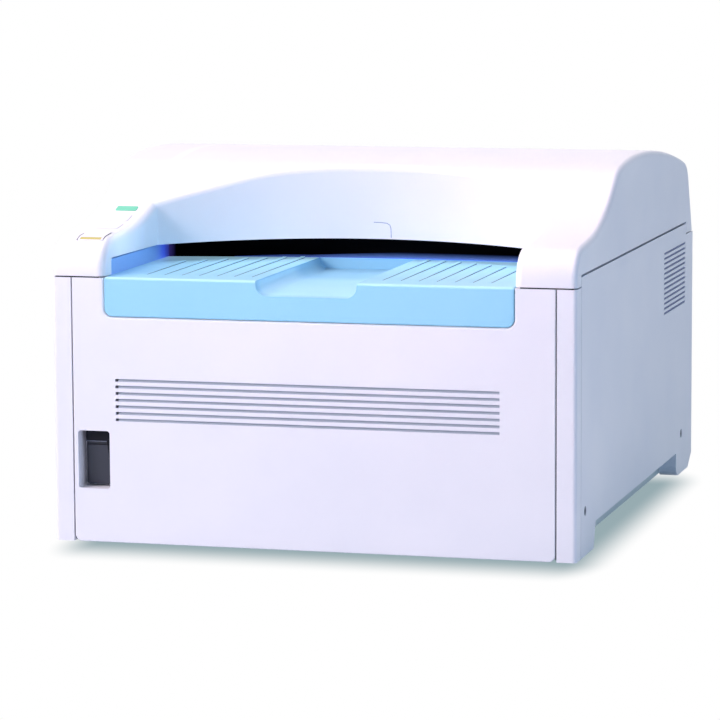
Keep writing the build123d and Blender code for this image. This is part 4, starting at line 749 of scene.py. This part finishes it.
blade_resin = moulded_plastic(
    "blade resin", srgb(186, 194, 204), srgb(176, 186, 198),
    roughness=0.5, grain_scale=800.0, grain_height=0.00003,
)
blades_mesh = bmesh.new()
for row in range(louvre_count):
    middle = louvre_top - row * louvre_pitch
    add_prism(blades_mesh, [(depth, middle + rise) for depth, rise in blade_side], blade_ends)
add_piece("front_louvre_blades", blades_mesh, blade_resin, "base")

# Side louvre blades: a slat moulded behind each slot of both side panels. Their dull blue grey is
# painted shade, for the deep shade the slats lie in.
side_slot_count = 13
side_slot_pitch = 5.36
side_slot_top = 258.0
side_slot_length = 123.5
side_slot_margin = 44.0
body_half = cad_box[1][0] * 1000
body_back = cad_box[1][1] * 1000 - front_y * 1000
side_end = body_back - side_slot_margin
side_blade_depths = (side_end - side_slot_length + 0.1, side_end - 0.1)

side_blade_painted_shade = moulded_plastic(
    "shaded blade resin", srgb(92, 108, 150), srgb(80, 96, 138),
    roughness=0.55, grain_scale=800.0, grain_height=0.00003,
)
side_mesh = bmesh.new()
for side in (-1, 1):
    thickness = sorted(side * (body_half - inset) for inset in (1.0, 2.8))
    for row in range(side_slot_count):
        middle = side_slot_top - row * side_slot_pitch
        add_block(side_mesh, thickness, side_blade_depths, (middle - 1.2, middle + 0.45))
add_piece("side_louvre_blades", side_mesh, side_blade_painted_shade, "base")

# Cover screws: blackened pan heads that fill the wells of the side panels, with a cross recess
# pressed into each. The four screws of the rear cover have the same recess.
side_screw_height = 49.0
side_screw_depths = (42.0, body_back - 63.0)
side_head_radius = 4.7
side_cross = (2.4, 0.45)
rear_screw_x = 225.0
rear_screw_heights = (30.0, 50.0)
rear_cross = (1.8, 0.4)
cross_depth = 0.6
cross_proud = 0.05


def around(middle, half):
    return (middle - half, middle + half)


def add_bar(mesh, start, end, radius, sides, tip):
    """A round bar between two points of the row frame; tip narrows its far end."""
    axis = (end - start).normalized()
    across = axis.orthogonal().normalized()
    other = axis.cross(across)
    rings = []
    for centre, size in ((start, radius / 1000.0), (end, radius * tip / 1000.0)):
        angles = [2 * math.pi * index / sides for index in range(sides)]
        rings.append([centre + (across * math.cos(a) + other * math.sin(a)) * size for a in angles])
    add_tube(mesh, rings)


recess_finish = brushed_metal(
    "screw recess", srgb(20, 22, 30), srgb(12, 14, 20), roughness=0.6, grain_scale=500.0
)
crosses = bmesh.new()
pan_heads = bmesh.new()
for side, head in zip((-1, 1), box_mm("cover_screws")[0]):
    head_face = side * (body_half - 0.6)
    recess = sorted((head_face - side * cross_depth, head_face + side * cross_proud))
    for depth in side_screw_depths:
        seat = place(head - side * 0.5, depth, side_screw_height)
        crown = place(head_face, depth, side_screw_height)
        add_bar(pan_heads, seat, crown, side_head_radius, sides=28, tip=0.93)
        for along, up in (side_cross, side_cross[::-1]):
            add_block(crosses, recess, around(depth, along), around(side_screw_height, up))
rear_face = box_mm("cover_screws")[1][1]
for side in (-1, 1):
    for height in rear_screw_heights:
        for across, up in (rear_cross, rear_cross[::-1]):
            add_block(
                crosses, around(side * rear_screw_x, across),
                (rear_face - cross_depth, rear_face + cross_proud), around(height, up),
            )
add_piece("screw_cross_recesses", crosses, recess_finish, "base")
add_piece("cover_screw_heads", pan_heads, black_screw, "base")

# Hinge screws: three countersunk steel heads on each lower hinge leaf, which hold it to the rear
# cover.
hinge_foot = box_mm("hinge_cover_leaves")[2][0]
hinge_x = 170.0
hinge_screw_places = ((-11, 9), (0, 17), (11, 9))
leaf_face = body_back - 3.4 + 1.6
heads = bmesh.new()
for side in (-1, 1):
    for offset, height in hinge_screw_places:
        start = place(side * hinge_x + offset, leaf_face - 0.3, hinge_foot + height)
        end = place(side * hinge_x + offset, leaf_face + 0.35, hinge_foot + height)
        add_bar(heads, start, end, 2.6, sides=20, tip=0.86)
add_piece("hinge_screws", heads, bright_steel, "base")

# Rib shade lines: a thin dark strip let in along the right foot of each rib of the tray, painted
# shade for the shaded right side of the rib. They end short of the tray's curved rear edge.
path_x = -3.5
rib_count = 7
rib_first = 66.6
rib_pitch = 18.1
rib_half = 1.8
tray_rear = 229.0
rear_radius = 249.0
runner_start = 33.0
runner_width = 0.75
runner_sunk = 0.2
runner_gap = 1.5

# painted shade: dark strips for the shaded right side of each rib
runner_rubber = moulded_plastic(
    "runner rubber", srgb(84, 112, 124), srgb(70, 98, 112),
    roughness=0.7, grain_scale=900.0, grain_height=0.00003,
)
runners = bmesh.new()
for side in (-1, 1):
    for rib in range(rib_count):
        offset = side * (rib_first + rib * rib_pitch)
        runner_end = tray_rear - rear_radius + math.sqrt(rear_radius ** 2 - offset ** 2) - runner_gap
        left = path_x + offset + rib_half
        right = left + runner_width
        rings = []
        for depth, proud in ((runner_start, 0.18), (runner_end, 0.3)):
            low = tray_top * 1000 - runner_sunk
            high = tray_top * 1000 + proud
            corners = ((left, low), (right, low), (right, high), (left, high))
            rings.append([place(x, depth, z) for x, z in corners])
        add_tube(runners, rings)
add_piece("tray_runners", runners, runner_rubber, "base")

# Pad mark: a fine raised line on the curved wall over the slot, moulded with the hood, like the
# edge of a closed service lid. Its grey blue is painted shade, the shaded edge of the pad.
wall_centre = (24.106, -225.152)
wall_radius = 433.822
mark_half = 0.35
# offset from the path's middle, and height
mark_path = [
    (12.0, 309.2), (20.0, 309.0), (26.0, 308.4), (29.0, 306.4), (30.0, 303.0), (30.2, 298.0), (30.3, 293.6),
]


def wall_depth(offset, off_wall):
    """Depth of the recess's curved wall at an offset from the path's middle."""
    return wall_centre[1] + math.sqrt((wall_radius - off_wall) ** 2 - (offset - wall_centre[0]) ** 2)


wall_line = moulded_plastic(
    "shaded line", srgb(150, 158, 186), srgb(138, 148, 178),
    roughness=0.6, grain_scale=900.0, grain_height=0.00002,
)
mark_rings = []
for index, (offset, height) in enumerate(mark_path):
    before = mark_path[max(index - 1, 0)]
    after = mark_path[min(index + 1, len(mark_path) - 1)]
    run = Vector((after[0] - before[0], after[1] - before[1])).normalized()
    normal = Vector((-run.y, run.x)) * mark_half
    ring = []
    for across, off in ((-1, 0.25), (1, 0.25), (1, -0.3), (-1, -0.3)):
        x = offset + normal.x * across
        ring.append(place(path_x + x, wall_depth(x, off), height + normal.y * across))
    mark_rings.append(ring)
mark = bmesh.new()
add_tube(mark, mark_rings)
add_piece("wall_pad_mark", mark, wall_line, "hood")

# Switch bridge and rocker cap: a black bar across the top of the power switch, with a lighter lip
# and a slanted fin at its right, hides the rocker's upper end. The lip's light grey is a painted
# highlight on the bar's lower edge, and the black fin is painted shade from the recess's right wall.
# The cap is the broad lower face of the rocker that is pressed, and is moulded with it.
switch_x, switch_depth, switch_z = box_mm("switch_body")
bridge_x = (switch_x[0] + 2.8, switch_x[1] - 0.2)
bridge_low = 104.7
bridge_high = switch_z[1] - 0.1
# painted shade: the black fin for the shadow of the recess's right wall
fin_left = switch_x[1] - 5.6
fin_right = switch_x[1] + 1.4
fin_low = 80.0
fin_high = bridge_low + 0.4
fin = ((fin_left, fin_high), (switch_x[1] - 1.4, fin_low), (fin_right, fin_low), (fin_right, fin_high))
# depth and height of the cap's corners, from its upper front edge round
cap_side = ((13.9, 100.2), (16.8, 60.4), (20.5, 60.7), (21.5, 64.6), (16.0, 100.2))

bridge_resin = moulded_plastic(
    "switch bridge", srgb(14, 16, 26), srgb(22, 24, 36),
    roughness=0.65, grain_scale=1000.0, grain_height=0.00002,
)
shader_of(bridge_resin).inputs["Specular IOR Level"].default_value = 0.2
bridge_mesh = bmesh.new()
add_block(bridge_mesh, bridge_x, (11.0, 14.2), (bridge_low, bridge_high), ease=0.3)
add_block(bridge_mesh, bridge_x, (14.1, switch_depth[0]), (switch_z[1] - 3.0, bridge_high))
add_tube(bridge_mesh, [[place(x, depth, z) for x, z in fin] for depth in (11.3, 12.3)])
add_piece("switch_bridge", bridge_mesh, bridge_resin, "base")
# painted highlight: a lighter lip along the bar's lower edge
lip_resin = moulded_plastic(
    "switch lip", srgb(112, 120, 140), srgb(98, 106, 126),
    roughness=0.3, grain_scale=1000.0, grain_height=0.00001,
)
lip_mesh = bmesh.new()
add_block(lip_mesh, (bridge_x[0], fin_left), (10.9, 13.0), (bridge_low - 0.55, bridge_low))
add_piece("switch_bridge_lip", lip_mesh, lip_resin, "base")
rocker_left, rocker_right = box_mm("switch_rocker")[0]
cap_mesh = bmesh.new()
add_prism(cap_mesh, cap_side, (rocker_left + 1.1, rocker_right - 0.2))
add_piece("rocker_cap", cap_mesh, switch_resin, "rocker")

# Key gap strips: thin dark rubber edging pressed into the gaps at both sides of the start key,
# level with the shoulder's curved top.
key_left, key_right = box_mm("start_key")[0]
# depth and height of the shoulder's top beside the key
shoulder_line = [
    (17.6, 304.55), (19.5, 305.5), (22.4, 306.62), (26.0, 307.6), (30.0, 308.2), (38.0, 308.97),
    (44.0, 309.55),
]
edging_strips = (
    (key_left - 0.75, key_left - 0.04, shoulder_line[:6]),
    (key_right + 0.04, key_right + 0.5, shoulder_line[1:]),
)
edging = moulded_plastic(
    "key edging", srgb(40, 40, 54), srgb(52, 52, 66), roughness=0.7, grain_scale=900.0, grain_height=0.00002
)
edging_mesh = bmesh.new()
for near, far, path in edging_strips:
    rings = []
    for depth, height in path:
        low = height - 1.0
        high = height + 0.09
        corners = ((near, low), (far, low), (far, high), (near, high))
        rings.append([place(x, depth, z) for x, z in corners])
    add_tube(edging_mesh, rings)
add_piece("key_gap_strips", edging_mesh, edging, "hood")

# Slot brush: a dense strip of fine blue bristle clamped behind the tray's curved rear edge, which
# stands higher on the right and keeps dust and light out below the flap. Its blue, darkening to black
# towards the tips, is painted shade, and its roots carry painted light, a blue glow brighter on the right.
brush_start = -140.0
brush_length = 346.0
brush_steps = 52
brush_low = 2.2
brush_tall = 4.0
brush_tip = (tray_top - 0.0002, tray_top + 0.0062)
brush_right = (-0.06, 0.03)

brush, brush_tree, brush_shader = new_finish("slot brush", 0.95)
brush_shader.inputs["Specular IOR Level"].default_value = 0.02
brush_axes = object_axes(brush_tree)
bristle = place_group(brush_tree, mould_texture, scale=2400.0, patch_scale=200.0)
tips = rising(brush_tree, brush_axes["Z"], brush_tip)
# painted shade: blue at the root, black towards the tips
brush_tone = mix_colours(
    brush_tree, math_node(brush_tree, "POWER", tips, 0.55), srgb(112, 150, 226), srgb(4, 3, 6)
)
between_bristles = span(brush_tree, bristle.outputs["Height"], 0.3, 0.7, 0.0, 0.25)
bristle_tone = mix_colours(brush_tree, between_bristles, brush_tone, srgb(10, 10, 30))
join(brush_tree, bristle_tone, brush_shader.inputs["Base Color"])
# painted light: a blue glow at the roots, brighter on the right
root_glow = mix_colours(
    brush_tree, rising(brush_tree, brush_axes["X"], brush_right), srgb(44, 54, 128), srgb(84, 112, 190)
)
brush_glow = mix_colours(brush_tree, math_node(brush_tree, "POWER", tips, 0.5), root_glow, no_light)
add_glow(brush, brush_glow, 0.8)
bump(brush_tree, bristle.outputs["Height"], 0.0003, brush_shader)
brush_rings = []
for index in range(brush_steps + 1):
    offset = brush_start + index * brush_length / brush_steps
    rise = brush_low * min(1.0, index / 8.0) + brush_tall * min(1.0, max(0.0, (offset + 60.0) / 100.0))
    depth = 229.35 + 0.0422 * offset - 0.000429 * offset ** 2
    profile = ((0.0, -4.0), (0.0, rise * 0.3), (2.2, rise), (2.8, rise), (2.8, -4.0))
    brush_rings.append([
        place(path_x + offset, depth + back, tray_top * 1000 + height) for back, height in profile
    ])
brush_mesh = bmesh.new()
add_tube(brush_mesh, brush_rings)
add_piece("slot_brush", brush_mesh, brush, "base")
